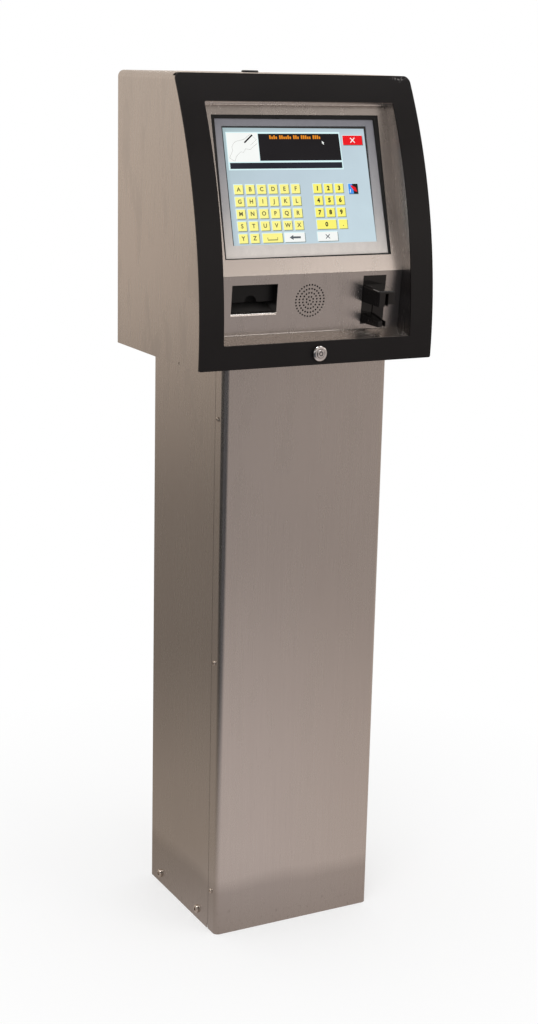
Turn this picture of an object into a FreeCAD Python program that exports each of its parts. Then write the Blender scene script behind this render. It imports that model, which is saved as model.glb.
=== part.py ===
import FreeCAD, Part
import math
import os

# Ticket vending machine: a curved-front head on a sheet-metal pedestal, in millimetres.
# +X is the user's right, -Y is the front and +Z is up. The origin is on the floor, at the
# middle of the pedestal's footprint.

V = FreeCAD.Vector
AXIS_X = V(1, 0, 0)
AXIS_Y = V(0, 1, 0)
AXIS_Z = V(0, 0, 1)

# ---- driving dimensions -------------------------------------------------------------

SHEET = 1.5                    # stainless sheet
DOOR_SHEET = 2.0               # door steel

PED_WIDTH = 284.0
PED_DEPTH = 252.0
PED_HEIGHT = 931.5
COVER_RETURN = 28.0            # how far the front cover wraps back along each side
COVER_BEND = 9.0
COVER_SCREW_Z = (71.0, 459.5, 848.0)
BASE_SCREW_Y = (-58.0, 88.0)
BASE_SCREW_Z = 17.0
BASE_PLATE = 5.0
ANCHOR_X = 95.0
ANCHOR_Y = 78.0
ANCHOR_R = 7.0
CABLE_BORE_R = 22.0
CABLE_HOLE_Y = 30.0
TOP_PLATE = 5.0

HEAD_WIDTH = 400.0
HEAD_HEIGHT = 425.2
HEAD_FRONT = -161.0            # most forward line of the door's curve
HEAD_BACK = 142.5
HEAD_BEND = 10.0
CURVE_R = 771.0                # radius of the front curve, seen from the side
CURVE_RISE = 50.3              # height of its most forward line above the head's bottom
FLANGE = 20.0                  # inward bottom flange of the head's sides
RELIEF_Y = -89.5               # bend relief in that lower edge

OPENING_X = 160.5              # half width of the opening in the door
OPENING_LOW = 967.7
OPENING_HIGH = 1317.0
OPENING_CORNER = 3.0
BEND_Y = HEAD_FRONT + 29.4     # bend between the screen face and the lower face
BEND_Z = 1066.3
SCREEN_TILT = 15.12
LOWER_TILT = 5.26
LEDGE_Y = HEAD_FRONT + 37.6    # corner between the lower face and the ledge
LEDGE_Z = 976.75

SCREEN_CUT = (-142.75, 142.75, 24.7, 239.2)      # in the screen face: x, x, up, up
SCREEN_FRAME = (-141.5, 141.0, 25.4, 237.6)
SCREEN_WINDOW = (-125.5, 122.0, 45.6, 223.3)
GASKET_OPENING = [(-140.4, 26.2), (139.8, 27.3), (135.3, 232.9), (-137.3, 234.3)]
SCREEN_CHASSIS = (-146.0, 146.0, 21.0, 243.0)
SCREEN_RECESS = 3.6
CHASSIS_DEPTH = 30.0

TRAY_CUT = (-133.0, -56.5, -57.3, -13.9)         # in the lower face: x, x, up, up
TRAY_LIP_R = 3.5
CHUTE_DEPTH = 44.0
GUARD_DEPTH = 13.5
GUARD_LOW = -42.8
THUMB_R = 10.0
SPEAKER_DROP = 41.6
GRILLE_PITCH = 6.05
GRILLE_RINGS = 4
GRILLE_HOLE_R = 1.4
READER_CUT = (91.4, 132.0, -82.3, -6.7)
READER_MID = 111.5
JAW_REACH = 40.0                # of the upper jaw, out of the lower face
JAW_HALF = 14.7                 # half its width at the tip
JAW_LOW = -47.0
CARD_TOP = -26.0
CARD_LOW = -80.0

HINGE_Z = 1353.2
KNUCKLE_R = 3.3
HINGE_PIN_R = 1.5
HINGE_HALF = 187.0
HINGE_KNUCKLES = 7
HINGE_GAP = 0.4
LEAF = 1.2

LOCK_Z = 949.5
LOCK_HEAD_R = 12.0
LOCK_BODY_R = 9.4
PLUG_R = 6.0
PLUG_PROUD = 0.8
CAM_REACH = 13.5
RUN = 0.06                     # radial clearance of a running fit

STRUT_X = 172.0
STRUT_HEAD_Y = 40.0            # ball stud on the head's side
STRUT_HEAD_Z = 1294.0
STRUT_DOOR_Y = -63.7           # stud on the door
STRUT_DOOR_Z = 1318.0
STRUT_TUBE_R = 6.0
STRUT_ROD_R = 3.0
STRUT_TUBE = 78.0
STRUT_START = 9.0

FAN_X = 110.0
FAN_Z = 1042.0
FAN_SIZE = 80.0
FAN_DEPTH = 25.0

PRINTER = (-139.0, -51.0, -80.0, 30.0, 960.0, 1030.0)
ROLL_Y = -15.0
ROLL_R = 28.0
ROLL_CORE_R = 6.4
PLATEN_Y = -70.0
PLATEN_Z = 1025.5
PLATEN_R = 5.0
LID_HINGE_Y = 26.0
LID_HINGE_Z = 1035.0

PLUG_Y = 86.0                  # blanking plug in the head's top
PLUG_HOLE_R = 11.0

# ---- derived places -----------------------------------------------------------------

HALF_PED = PED_WIDTH / 2
PED_FRONT = -PED_DEPTH / 2
PED_BACK = PED_DEPTH / 2
SEAM_Y = PED_FRONT + COVER_RETURN
HALF_HEAD = HEAD_WIDTH / 2
HEAD_LOW = PED_HEIGHT
HEAD_TOP = HEAD_LOW + HEAD_HEIGHT
CURVE_Z = HEAD_LOW + CURVE_RISE
PAN_LOW = HEAD_LOW + SHEET
PAN_TOP = PAN_LOW + 2.0
PANEL_Y = HEAD_BACK - SHEET
BEND = V(0, BEND_Y, BEND_Z)


def front_y(z, back=0.0):
    """The door's front curve at height z, moved back by a distance."""
    return HEAD_FRONT + CURVE_R - math.sqrt(CURVE_R ** 2 - (z - CURVE_Z) ** 2) + back


HINGE_SLOPE = math.asin((HINGE_Z - CURVE_Z) / CURVE_R)
HINGE_Y = front_y(HINGE_Z) + DOOR_SHEET + (KNUCKLE_R + 0.4) / math.cos(HINGE_SLOPE)
LOCK_Y = front_y(LOCK_Z)


# ---- helpers ------------------------------------------------------------------------

def box(x0, x1, y0, y1, z0, z1):
    return Part.makeBox(x1 - x0, y1 - y0, z1 - z0, V(x0, y0, z0))


def bar(start, direction, length, radius):
    return Part.makeCylinder(radius, length, V(*start), direction)


def tube(start, direction, length, outer, inner):
    return bar(start, direction, length, outer).cut(bar(start, direction, length, inner))


def fuse(shapes):
    return shapes[0].multiFuse(shapes[1:]).removeSplitter()


def cut(shape, tools):
    return shape.cut(Part.makeCompound(tools))


def hexagon(start, direction, length, across):
    """A hexagonal prism along +X, +Y or +Z, measured across its flats."""
    corner = across / math.sqrt(3)
    points = []
    for i in range(7):
        a = math.radians(60 * i)
        points.append(V(corner * math.cos(a), corner * math.sin(a), 0))
    solid = Part.Face(Part.makePolygon(points)).extrude(V(0, 0, length))
    solid.Placement = FreeCAD.Placement(V(*start), FreeCAD.Rotation(AXIS_Z, direction))
    return solid


def side_prism(points, x0, x1):
    """A polygon of (y, z) points, seen from the side, carried from x0 to x1."""
    corners = [V(x0, y, z) for y, z in points]
    return Part.Face(Part.makePolygon(corners + corners[:1])).extrude(V(x1 - x0, 0, 0))


def plan_prism(points, z0, z1):
    """A polygon of (x, y) points, seen from above, carried from z0 to z1."""
    corners = [V(x, y, z0) for x, y in points]
    return Part.Face(Part.makePolygon(corners + corners[:1])).extrude(V(0, 0, z1 - z0))


def curve_edge(x, back, z0, z1):
    heights = (z0, (z0 + z1) / 2, z1)
    return Part.Arc(*[V(x, front_y(z, back), z) for z in heights]).toShape()


def curve_band(near, far, z0, z1, x0, x1):
    """The space between the front curve moved back by near and by far."""
    low = Part.makeLine(V(x0, front_y(z0, far), z0), V(x0, front_y(z0, near), z0))
    high = Part.makeLine(V(x0, front_y(z1, near), z1), V(x0, front_y(z1, far), z1))
    wire = Part.Wire([low, curve_edge(x0, near, z0, z1), high, curve_edge(x0, far, z0, z1)])
    return Part.Face(wire).extrude(V(x1 - x0, 0, 0))


def behind_curve(near, back_y, z0, z1, x0, x1):
    """The space from the front curve, moved back by near, to a flat back."""
    front = curve_edge(x0, near, z0, z1)
    points = [V(x0, front_y(z1, near), z1), V(x0, back_y, z1), V(x0, back_y, z0)]
    points.append(V(x0, front_y(z0, near), z0))
    return Part.Face(Part.Wire([front] + Part.makePolygon(points).Edges)).extrude(V(x1 - x0, 0, 0))


def runs_along(edge, axis):
    if edge.Curve.TypeId != "Part::GeomLine":
        return False
    return abs(edge.Curve.Direction.dot(axis)) > 0.999


def round_edges(shape, radius, axis, wanted):
    """Rounds the straight edges along an axis whose middle point is wanted."""
    edges = [e for e in shape.Edges if runs_along(e, axis) and wanted(e.CenterOfMass)]
    return shape.makeFillet(radius, edges)


def tilted(shape, degrees):
    """Moves a shape drawn on a face of the recessed panel (origin at its bend) into place."""
    shape = shape.copy()
    shape.rotate(V(0, 0, 0), AXIS_X, degrees)
    shape.translate(BEND)
    return shape


def on_screen_face(shape):
    return tilted(shape, -SCREEN_TILT)


def on_lower_face(shape):
    return tilted(shape, LOWER_TILT)


def turned(shape, centre, axis, degrees):
    shape = shape.copy()
    shape.rotate(V(*centre), axis, degrees)
    return shape


def mirrored(shape):
    """The same piece on the other side of the machine."""
    return shape.mirror(V(0, 0, 0), AXIS_X)


def both_sides(shape):
    return [shape, mirrored(shape)]


def button_screw(tip, direction, shank_r, length, head_r, head_height):
    """A domed socket screw: direction points from the tip to the head."""
    tip = V(*tip)
    seat = tip + direction * length
    shank = Part.makeCylinder(shank_r, length, tip, direction)
    head = Part.makeCylinder(head_r, head_height, seat, direction)
    rim = [e for e in head.Edges if abs((e.CenterOfMass - seat).dot(direction) - head_height) < 0.01]
    head = head.makeFillet(head_height * 0.6, rim[:1])
    socket_start = seat + direction * (head_height * 0.4)
    socket = hexagon(tuple(socket_start), direction, head_height, head_r * 0.8)
    return fuse([shank, head]).cut(socket)


def cable(points, radius, largest_bend):
    """A round cable through the points, straight between arcs as large as its runs allow."""
    points = [V(*p) for p in points]
    edges = []
    start = points[0]
    for before, corner, after in zip(points, points[1:], points[2:]):
        inward = (before - corner).normalize()
        outward = (after - corner).normalize()
        half_turn = (math.pi - inward.getAngle(outward)) / 2
        run = min((before - corner).Length, (after - corner).Length)
        bend = min(0.45 * run / math.tan(half_turn), largest_bend)
        reach = bend * math.tan(half_turn)
        middle = corner + (inward + outward).normalize() * (bend / math.cos(half_turn) - bend)
        edges.append(Part.makeLine(start, corner + inward * reach))
        edges.append(Part.Arc(corner + inward * reach, middle, corner + outward * reach).toShape())
        start = corner + outward * reach
    edges.append(Part.makeLine(start, points[-1]))
    path = Part.Wire(edges)
    ring = Part.Wire(Part.makeCircle(radius, points[0], points[1] - points[0]))
    return path.makePipeShell([ring], True, True)


# ---- pedestal -----------------------------------------------------------------------

def base_bracket():
    """Floor plate with a rail welded on each side; weld nuts take the pedestal's screws."""
    inner = HALF_PED - SHEET
    wall = 4.0
    plate = box(-inner + wall, inner - wall, PED_FRONT + 20, PED_BACK - 8, 0, BASE_PLATE)
    rail = box(inner - wall, inner, SEAM_Y + 22, PED_BACK - 14, 0, 32)
    nuts = [bar((inner - wall - 6, y, BASE_SCREW_Z), AXIS_X, 6, 7) for y in BASE_SCREW_Y]
    screw_holes = [bar((HALF_PED - 20, y, BASE_SCREW_Z), AXIS_X, 20, 4.0) for y in BASE_SCREW_Y]
    rail = cut(fuse([rail] + nuts), screw_holes)
    holes = []
    for x in (-ANCHOR_X, ANCHOR_X):
        for y in (-ANCHOR_Y, ANCHOR_Y):
            holes.append(bar((x, y, -1), AXIS_Z, BASE_PLATE + 2, ANCHOR_R))
    holes.append(bar((0, CABLE_HOLE_Y, -1), AXIS_Z, BASE_PLATE + 2, CABLE_BORE_R + 4))
    return [cut(plate, holes)] + both_sides(rail)


def base_side_screws():
    screws = []
    for y in BASE_SCREW_Y:
        screws.append(button_screw((HALF_PED - 12, y, BASE_SCREW_Z), AXIS_X, 3.9, 12, 6.8, 4.2))
    return [s for screw in screws for s in both_sides(screw)]


def cable_bush():
    foot = tube((0, CABLE_HOLE_Y, 0.5), AXIS_Z, BASE_PLATE - 0.5, CABLE_BORE_R + 3.9, CABLE_BORE_R)
    lip = tube((0, CABLE_HOLE_Y, BASE_PLATE), AXIS_Z, 2.5, CABLE_BORE_R + 8, CABLE_BORE_R)
    return fuse([foot, lip])


def cover_screw_places():
    return [(PED_FRONT + 18, z) for z in COVER_SCREW_Z]


def pedestal_shell():
    """Left side, back and right side in one bent sheet, with the cover's fixing strips."""
    outer = box(-HALF_PED, HALF_PED, SEAM_Y, PED_BACK, 0, PED_HEIGHT)
    outer = round_edges(outer, 3.0, AXIS_Z, lambda p: p.y > 0)
    inner_half = HALF_PED - SHEET
    inner = box(-inner_half, inner_half, SEAM_Y - 1, PED_BACK - SHEET, -1, PED_HEIGHT + 1)
    inner = round_edges(inner, 1.5, AXIS_Z, lambda p: p.y > 0)
    strip = box(inner_half - SHEET, inner_half, SEAM_Y - 18, SEAM_Y + 18, 12, PED_HEIGHT - 16)
    shape = fuse([outer.cut(inner), strip, mirrored(strip)])
    holes = [bar((-HALF_PED - 1, y, BASE_SCREW_Z), AXIS_X, PED_WIDTH + 2, 4.3) for y in BASE_SCREW_Y]
    for y, z in cover_screw_places():
        holes.append(bar((-HALF_PED - 1, y, z), AXIS_X, PED_WIDTH + 2, 2.2))
    notch = box(-HALF_PED - 1, HALF_PED + 1, SEAM_Y - 1, SEAM_Y + 3, -1, 9)
    return cut(shape, holes + [notch])


def pedestal_front_cover():
    low = 0.5
    high = PED_HEIGHT - 0.6
    outer = box(-HALF_PED, HALF_PED, PED_FRONT, SEAM_Y - 0.8, low, high)
    outer = round_edges(outer, COVER_BEND, AXIS_Z, lambda p: p.y < SEAM_Y - 2)
    half = HALF_PED - SHEET
    inner = box(-half, half, PED_FRONT + SHEET, SEAM_Y, low - 1, high + 1)
    inner = round_edges(inner, COVER_BEND - SHEET, AXIS_Z, lambda p: p.y < SEAM_Y - 2)
    pieces = [outer.cut(inner)]
    for z in (low, high - 8):
        pieces.append(box(-half + 6, half - 6, PED_FRONT + SHEET, PED_FRONT + 12, z, z + SHEET))
    holes = []
    for y, z in cover_screw_places():
        holes.append(bar((-HALF_PED - 1, y, z), AXIS_X, PED_WIDTH + 2, 2.2))
    return cut(fuse(pieces), holes)


def cover_screws():
    screws = []
    for y, z in cover_screw_places():
        screws += both_sides(button_screw((HALF_PED - 10, y, z), AXIS_X, 1.9, 10, 3.8, 2.2))
    return screws


def cover_nuts():
    nuts = []
    length = 4.0
    for y, z in cover_screw_places():
        start = (HALF_PED - 2 * SHEET - length, y, z)
        nuts += both_sides(tube(start, AXIS_X, length, 4.0, 2.0))
    return nuts


HEAD_BOLTS = [(x, y) for x in (-110.0, 110.0) for y in (-80.0, 95.0)]
DUCT = (-55.0, 55.0, -35.0, 35.0)


def duct_and_bolt_holes(z0, z1):
    holes = [bar((x, y, z0), AXIS_Z, z1 - z0, 4.5) for x, y in HEAD_BOLTS]
    duct = round_edges(box(*DUCT, z0, z1), 8, AXIS_Z, lambda p: True)
    return holes + [duct]


def pedestal_top_plate():
    half = HALF_PED - SHEET
    plate = box(-half, half, PED_FRONT + SHEET + 0.2, PED_BACK - SHEET, PAN_LOW - TOP_PLATE, PAN_LOW)
    corner = box(half - 9, half + 1, PED_FRONT, SEAM_Y + 20, PAN_LOW - TOP_PLATE - 1, PAN_LOW + 1)
    back_corner = box(half - 2, half + 1, PED_BACK - 4, PED_BACK, PAN_LOW - TOP_PLATE - 1, PAN_LOW + 1)
    corners = both_sides(corner) + both_sides(back_corner)
    return cut(plate, corners + duct_and_bolt_holes(PAN_LOW - TOP_PLATE - 1, PAN_LOW + 1))


def head_bolts():
    bolts = []
    for x, y in HEAD_BOLTS:
        washer = tube((x, y, PAN_TOP), AXIS_Z, 1.6, 8.5, 4.2)
        shank = bar((x, y, PAN_TOP - 20), AXIS_Z, 22, 3.9)
        head = hexagon((x, y, PAN_TOP + 1.6), AXIS_Z, 5.3, 13)
        bolts.append(fuse([washer, shank, head]))
    return bolts


def head_nuts():
    nuts = []
    for x, y in HEAD_BOLTS:
        nut = hexagon((x, y, PAN_LOW - TOP_PLATE - 6.5), AXIS_Z, 6.5, 13)
        nuts.append(nut.cut(bar((x, y, PAN_LOW - 20), AXIS_Z, 20, 4.0)))
    return nuts


RAIL_Z = 300.0
RAIL_BACK = PED_BACK - SHEET
RAIL_FRONT = RAIL_BACK - 7.5
TOGGLE_Y = RAIL_FRONT - 55.0
TOGGLE_R = 6.0


def din_rail():
    web = box(-100, 100, RAIL_BACK - 1, RAIL_BACK, RAIL_Z - 12.5, RAIL_Z + 12.5)
    pieces = [web]
    for z in (RAIL_Z - 12.5, RAIL_Z + 11.5):
        pieces.append(box(-100, 100, RAIL_FRONT, RAIL_BACK, z, z + 1))
    for z in (RAIL_Z - 17.5, RAIL_Z + 11.5):
        pieces.append(box(-100, 100, RAIL_FRONT, RAIL_FRONT + 1, z, z + 6))
    return fuse(pieces)


def circuit_breaker():
    foot = box(-18, 18, RAIL_FRONT - 44, RAIL_FRONT, RAIL_Z - 42, RAIL_Z + 42)
    nose = box(-18, 18, RAIL_FRONT - 61, RAIL_FRONT - 44, RAIL_Z - 22.5, RAIL_Z + 22.5)
    body = fuse([foot, nose])
    pocket = bar((-13, TOGGLE_Y, RAIL_Z), AXIS_X, 26, TOGGLE_R + 0.4)
    mouth = box(-13, 13, TOGGLE_Y - 10, TOGGLE_Y, RAIL_Z - TOGGLE_R - 0.4, RAIL_Z + TOGGLE_R + 0.4)
    pin_hole = bar((-16, TOGGLE_Y, RAIL_Z), AXIS_X, 32, 1.5 + RUN)
    screw_holes = []
    for x in (-9, 9):
        for z in (RAIL_Z - 34, RAIL_Z + 34):
            screw_holes.append(bar((x, RAIL_FRONT - 45, z), AXIS_Y, 6, 3.5))
    return cut(body, [pocket, mouth, pin_hole] + screw_holes)


def breaker_toggle():
    hub = bar((-12.5, TOGGLE_Y, RAIL_Z), AXIS_X, 25, TOGGLE_R)
    pin = bar((-15.5, TOGGLE_Y, RAIL_Z), AXIS_X, 31, 1.5)
    handle = box(-12, 12, TOGGLE_Y - 15, TOGGLE_Y, RAIL_Z - 2, RAIL_Z + 2)
    handle = turned(handle, (0, TOGGLE_Y, RAIL_Z), AXIS_X, -20)
    return fuse([hub, pin, handle])


def terminal_blocks():
    blocks = []
    for i in range(6):
        x = 30 + 7 * i
        block = box(x, x + 6, RAIL_FRONT - 38, RAIL_FRONT, RAIL_Z - 24, RAIL_Z + 24)
        block = round_edges(block, 8, AXIS_X, lambda p: p.y < RAIL_FRONT - 5)
        holes = [bar((x + 3, RAIL_FRONT - 39, RAIL_Z + s), AXIS_Y, 8, 2.0) for s in (-12, 12)]
        blocks.append(cut(block, holes))
    return blocks


SUPPLY = (62.0, 162.0, -8.0, 62.0, PAN_TOP, PAN_TOP + 40.0)
CABLE_R = 3.5
CABLE_X = -9.0
CABLE_WALL_Y = RAIL_BACK - 6.5
CABLE_ROUTE = [
    (CABLE_X, RAIL_FRONT - 28, RAIL_Z + 42),
    (CABLE_X, RAIL_FRONT - 28, RAIL_Z + 95),
    (CABLE_X, CABLE_WALL_Y, RAIL_Z + 160),
    (CABLE_X, CABLE_WALL_Y, 850.0),
    (CABLE_X, 20.0, 915.0),
    (CABLE_X, 20.0, PAN_TOP + 22),
    (SUPPLY[0], 20.0, PAN_TOP + 22),
]
CLIP_Z = (520.0, 660.0, 800.0)


def power_cable():
    return cable(CABLE_ROUTE, CABLE_R, 60.0)


def cable_clips():
    clips = []
    for z in CLIP_Z:
        ring = tube((CABLE_X, CABLE_WALL_Y, z - 5), AXIS_Z, 10, CABLE_R + 1.6, CABLE_R + 0.1)
        foot = box(CABLE_X + 3, CABLE_X + 18, RAIL_BACK - 2, RAIL_BACK, z - 5, z + 5)
        link = box(CABLE_X + 3.8, CABLE_X + 6, CABLE_WALL_Y, RAIL_BACK, z - 5, z + 5)
        screw = bar((CABLE_X + 13, RAIL_BACK - 4, z), AXIS_Y, 2, 3)
        clips.append(fuse([ring, foot, link, screw]))
    return clips


# ---- head casing --------------------------------------------------------------------

def head_shell():
    """Side, top and side in one bent sheet, with inward flanges at the bottom and back."""
    outer = box(-HALF_HEAD, HALF_HEAD, HEAD_FRONT, HEAD_BACK, HEAD_LOW, HEAD_TOP)
    outer = round_edges(outer, HEAD_BEND, AXIS_Y, lambda p: p.z > HEAD_TOP - 1)
    half = HALF_HEAD - SHEET
    inner = box(-half, half, HEAD_FRONT - 1, HEAD_BACK + 1, HEAD_LOW - 1, HEAD_TOP - SHEET)
    inner = round_edges(inner, HEAD_BEND - SHEET, AXIS_Y, lambda p: p.z > HEAD_TOP - 9)
    pieces = [outer.cut(inner)]
    bottom = box(half - FLANGE, half, RELIEF_Y, HEAD_BACK, HEAD_LOW, PAN_LOW)
    rear = box(half - 14, half, PANEL_Y - SHEET, PANEL_Y, PAN_TOP, HEAD_TOP - 9)
    pieces += both_sides(bottom) + both_sides(rear)
    pieces.append(box(-half + 8, half - 8, PANEL_Y - SHEET, PANEL_Y, HEAD_TOP - 15, HEAD_TOP - SHEET))
    shape = fuse(pieces)
    shape = shape.common(behind_curve(2.6, HEAD_BACK, HEAD_LOW, HEAD_TOP, -HALF_HEAD, HALF_HEAD))
    sheet_start = HINGE_Y + KNUCKLE_R + 0.8
    hinge_gap = box(-HALF_HEAD - 1, HALF_HEAD + 1, HEAD_FRONT, sheet_start, HINGE_Z - 1.2, HEAD_TOP + 1)
    relief = box(-HALF_HEAD - 1, HALF_HEAD + 1, RELIEF_Y - 2.5, RELIEF_Y, HEAD_LOW - 1, HEAD_LOW + 5)
    plug_hole = bar((0, PLUG_Y, HEAD_TOP - 5), AXIS_Z, 10, PLUG_HOLE_R)
    screw_holes = [bar((x, PANEL_Y - 5, z), AXIS_Y, 6, 2.2) for x, z in BACK_SCREWS if z > 945]
    return cut(shape, [hinge_gap, relief, plug_hole] + screw_holes)


BACK_SCREWS = [(x, z) for x in (-191.0, 191.0) for z in (960.0, 1145.0, 1330.0)]
BACK_SCREWS += [(x, z) for x in (-90.0, 90.0) for z in (942.5, 1348.5)]


def head_floor():
    half = HALF_HEAD - SHEET
    pan = box(-half, half, front_y(PAN_TOP, 17.8), PANEL_Y, PAN_LOW, PAN_TOP)
    lip = box(-half + 15, half - 15, PANEL_Y - SHEET, PANEL_Y, PAN_TOP, PAN_TOP + 14)
    holes = duct_and_bolt_holes(PAN_LOW - 1, PAN_TOP + 1)
    holes += [bar((x, PANEL_Y - 5, z), AXIS_Y, 6, 2.2) for x, z in BACK_SCREWS if z < 945]
    return cut(fuse([pan, lip]), holes)


SEAL_FRONT = 14.4
JAMB_FRONT = 16.0
JAMB_LOW_TOP = 941.0


def head_front_jamb():
    """A bent stop inside the head's mouth that the door's seal is stuck to."""
    half = HALF_HEAD - SHEET
    side = curve_band(JAMB_FRONT, JAMB_FRONT + SHEET, PAN_TOP, HINGE_Z - 14, half - 15, half)
    sill = curve_band(JAMB_FRONT, JAMB_FRONT + SHEET, PAN_TOP, JAMB_LOW_TOP, -half, half)
    return fuse([sill] + both_sides(side))


def door_seal():
    half = HALF_HEAD - SHEET
    side = curve_band(SEAL_FRONT, JAMB_FRONT, PAN_TOP + 0.4, HINGE_Z - 16, half - 9, half - 1)
    sill = curve_band(SEAL_FRONT, JAMB_FRONT, PAN_TOP + 0.4, PAN_TOP + 4.6, -half + 1, half - 1)
    return fuse([sill] + both_sides(side))


def fan_grille_holes():
    holes = [bar((FAN_X, PANEL_Y - 1, FAN_Z), AXIS_Y, 5, 2.4)]
    for ring in range(1, 6):
        for i in range(6 * ring):
            a = 2 * math.pi * i / (6 * ring)
            x = FAN_X + 6.8 * ring * math.cos(a)
            z = FAN_Z + 6.8 * ring * math.sin(a)
            holes.append(bar((x, PANEL_Y - 1, z), AXIS_Y, 5, 2.4))
    return holes


def back_panel():
    half = HALF_HEAD - SHEET - 0.5
    panel = box(-half, half, PANEL_Y, HEAD_BACK, PAN_LOW + 0.3, HEAD_TOP - SHEET - 0.5)
    panel = round_edges(panel, 8.0, AXIS_Y, lambda p: p.z > HEAD_TOP - 9)
    holes = fan_grille_holes()
    for x, z in BACK_SCREWS:
        holes.append(bar((x, PANEL_Y - 1, z), AXIS_Y, 5, 2.2))
    for middle in (-145.0, 145.0):
        for i in range(10):
            z = 1180 + 12 * i
            slot = box(middle - 26, middle + 26, PANEL_Y - 1, HEAD_BACK + 1, z, z + 3)
            holes.append(round_edges(slot, 1.45, AXIS_Y, lambda p: True))
    return cut(panel, holes)


def back_panel_screws():
    return [button_screw((x, HEAD_BACK - 8, z), AXIS_Y, 1.9, 8, 3.8, 2.2) for x, z in BACK_SCREWS]


def top_plug():
    """Snap-in blanking plug with a low domed cap."""
    cap = bar((0, PLUG_Y, HEAD_TOP), AXIS_Z, 3.2, 13.5)
    rim = [e for e in cap.Edges if e.CenterOfMass.z > HEAD_TOP + 3]
    cap = cap.makeFillet(2.0, rim[:1])
    stem = tube((0, PLUG_Y, HEAD_TOP - 7), AXIS_Z, 7, PLUG_HOLE_R - 0.2, PLUG_HOLE_R - 2)
    return fuse([cap, stem])


# ---- front door ---------------------------------------------------------------------

def door_frame():
    """Curved steel plate with the screen opening and inward returns at the sides and bottom."""
    low = HEAD_LOW + 0.4
    outline = box(-HALF_HEAD, HALF_HEAD, HEAD_FRONT - 5, 0, low, HEAD_TOP)
    outline = round_edges(outline, HEAD_BEND, AXIS_Y, lambda p: p.z > HEAD_TOP - 1)
    outline = round_edges(outline, 3.0, AXIS_Y, lambda p: p.z < low + 1)
    plate = curve_band(0, DOOR_SHEET, low - 2, HEAD_TOP + 2, -HALF_HEAD, HALF_HEAD).common(outline)
    half = HALF_HEAD - 3.0
    side = curve_band(DOOR_SHEET, 14.0, low + 2, HINGE_Z - 14, half - DOOR_SHEET, half)
    sill = curve_band(DOOR_SHEET, 14.0, low + 2, low + 4, -half, half)
    opening = box(-OPENING_X, OPENING_X, HEAD_FRONT - 5, 0, OPENING_LOW, OPENING_HIGH)
    opening = round_edges(opening, OPENING_CORNER, AXIS_Y, lambda p: True)
    lock_hole = bar((0, LOCK_Y - 5, LOCK_Z), AXIS_Y, 20, LOCK_BODY_R + 0.1)
    return cut(fuse([plate, sill] + both_sides(side)), [opening, lock_hole])


def recess_profile():
    """The recess's visible faces as (y, z) points, closed well in front of the door."""
    reach = HEAD_FRONT - 60
    rise = math.tan(math.radians(SCREEN_TILT))
    soffit_y = BEND_Y + (OPENING_HIGH - BEND_Z) * rise
    ledge_slope = (LEDGE_Z - OPENING_LOW) / (LEDGE_Y - HEAD_FRONT)
    ledge_end = LEDGE_Z - (LEDGE_Y - reach) * ledge_slope
    points = [(reach, OPENING_HIGH), (soffit_y, OPENING_HIGH), (BEND_Y, BEND_Z)]
    return points + [(LEDGE_Y, LEDGE_Z), (reach, ledge_end)]


def recess_space(grow):
    """The recess as a solid, grown outward by the sheet's thickness where asked."""
    solid = side_prism(recess_profile(), -OPENING_X, OPENING_X)
    solid = round_edges(solid, 4.5, AXIS_X, lambda p: p.z > OPENING_HIGH - 1 and p.y > BEND_Y)
    solid = round_edges(solid, 1.0, AXIS_X, lambda p: abs(p.y - LEDGE_Y) < 1 and p.z < LEDGE_Z + 1)
    solid = round_edges(solid, 3.0, AXIS_X, lambda p: abs(p.z - BEND_Z) < 1)
    if not grow:
        return solid
    return solid.makeOffsetShape(grow, 0.01, join=2)


def grille_holes():
    holes = [bar((0, -2, -SPEAKER_DROP), AXIS_Y, 8, GRILLE_HOLE_R)]
    for ring in range(1, GRILLE_RINGS + 1):
        for i in range(8 * ring):
            a = 2 * math.pi * (i + 0.5) / (8 * ring)
            x = GRILLE_PITCH * ring * math.cos(a)
            z = GRILLE_PITCH * ring * math.sin(a) - SPEAKER_DROP
            holes.append(bar((x, -2, z), AXIS_Y, 8, GRILLE_HOLE_R))
    return holes


def tray_lip():
    """The tray opening's lower edge, bent inward."""
    x0, x1, low, _ = TRAY_CUT
    width = x1 - x0
    bend = tube((x0, TRAY_LIP_R, low - TRAY_LIP_R), AXIS_X, width, TRAY_LIP_R, TRAY_LIP_R - SHEET)
    quarter = box(x0, x1, 0, TRAY_LIP_R, low - TRAY_LIP_R, low)
    flange = box(x0, x1, TRAY_LIP_R, 11, low - SHEET, low)
    return fuse([bend.common(quarter), flange])


def recess_panel():
    """Folded stainless tub behind the door's opening, with a flange that backs the door."""
    inner = recess_space(0)
    half = OPENING_X + SHEET
    tub = recess_space(SHEET).common(behind_curve(2.15, 0, 955, 1335, -half, half)).cut(inner)
    rim = curve_band(2.15, 3.65, OPENING_LOW - 11, OPENING_HIGH + 12, -OPENING_X - 12, OPENING_X + 12)
    rim = cut(rim, [inner, bar((0, LOCK_Y - 5, LOCK_Z), AXIS_Y, 20, 15.5)])
    x0, x1, low, high = SCREEN_CUT
    screen_hole = on_screen_face(box(x0, x1, -4, 5, low, high))
    x0, x1, low, high = TRAY_CUT
    tray_hole = on_lower_face(box(x0, x1, -4, 5, low - TRAY_LIP_R, high))
    x0, x1, low, high = READER_CUT
    reader_hole = on_lower_face(box(x0, x1, -4, 5, low, high))
    holes = [screen_hole, tray_hole, reader_hole] + [on_lower_face(h) for h in grille_holes()]
    return fuse([cut(fuse([tub, rim]), holes), on_lower_face(tray_lip())])


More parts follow.
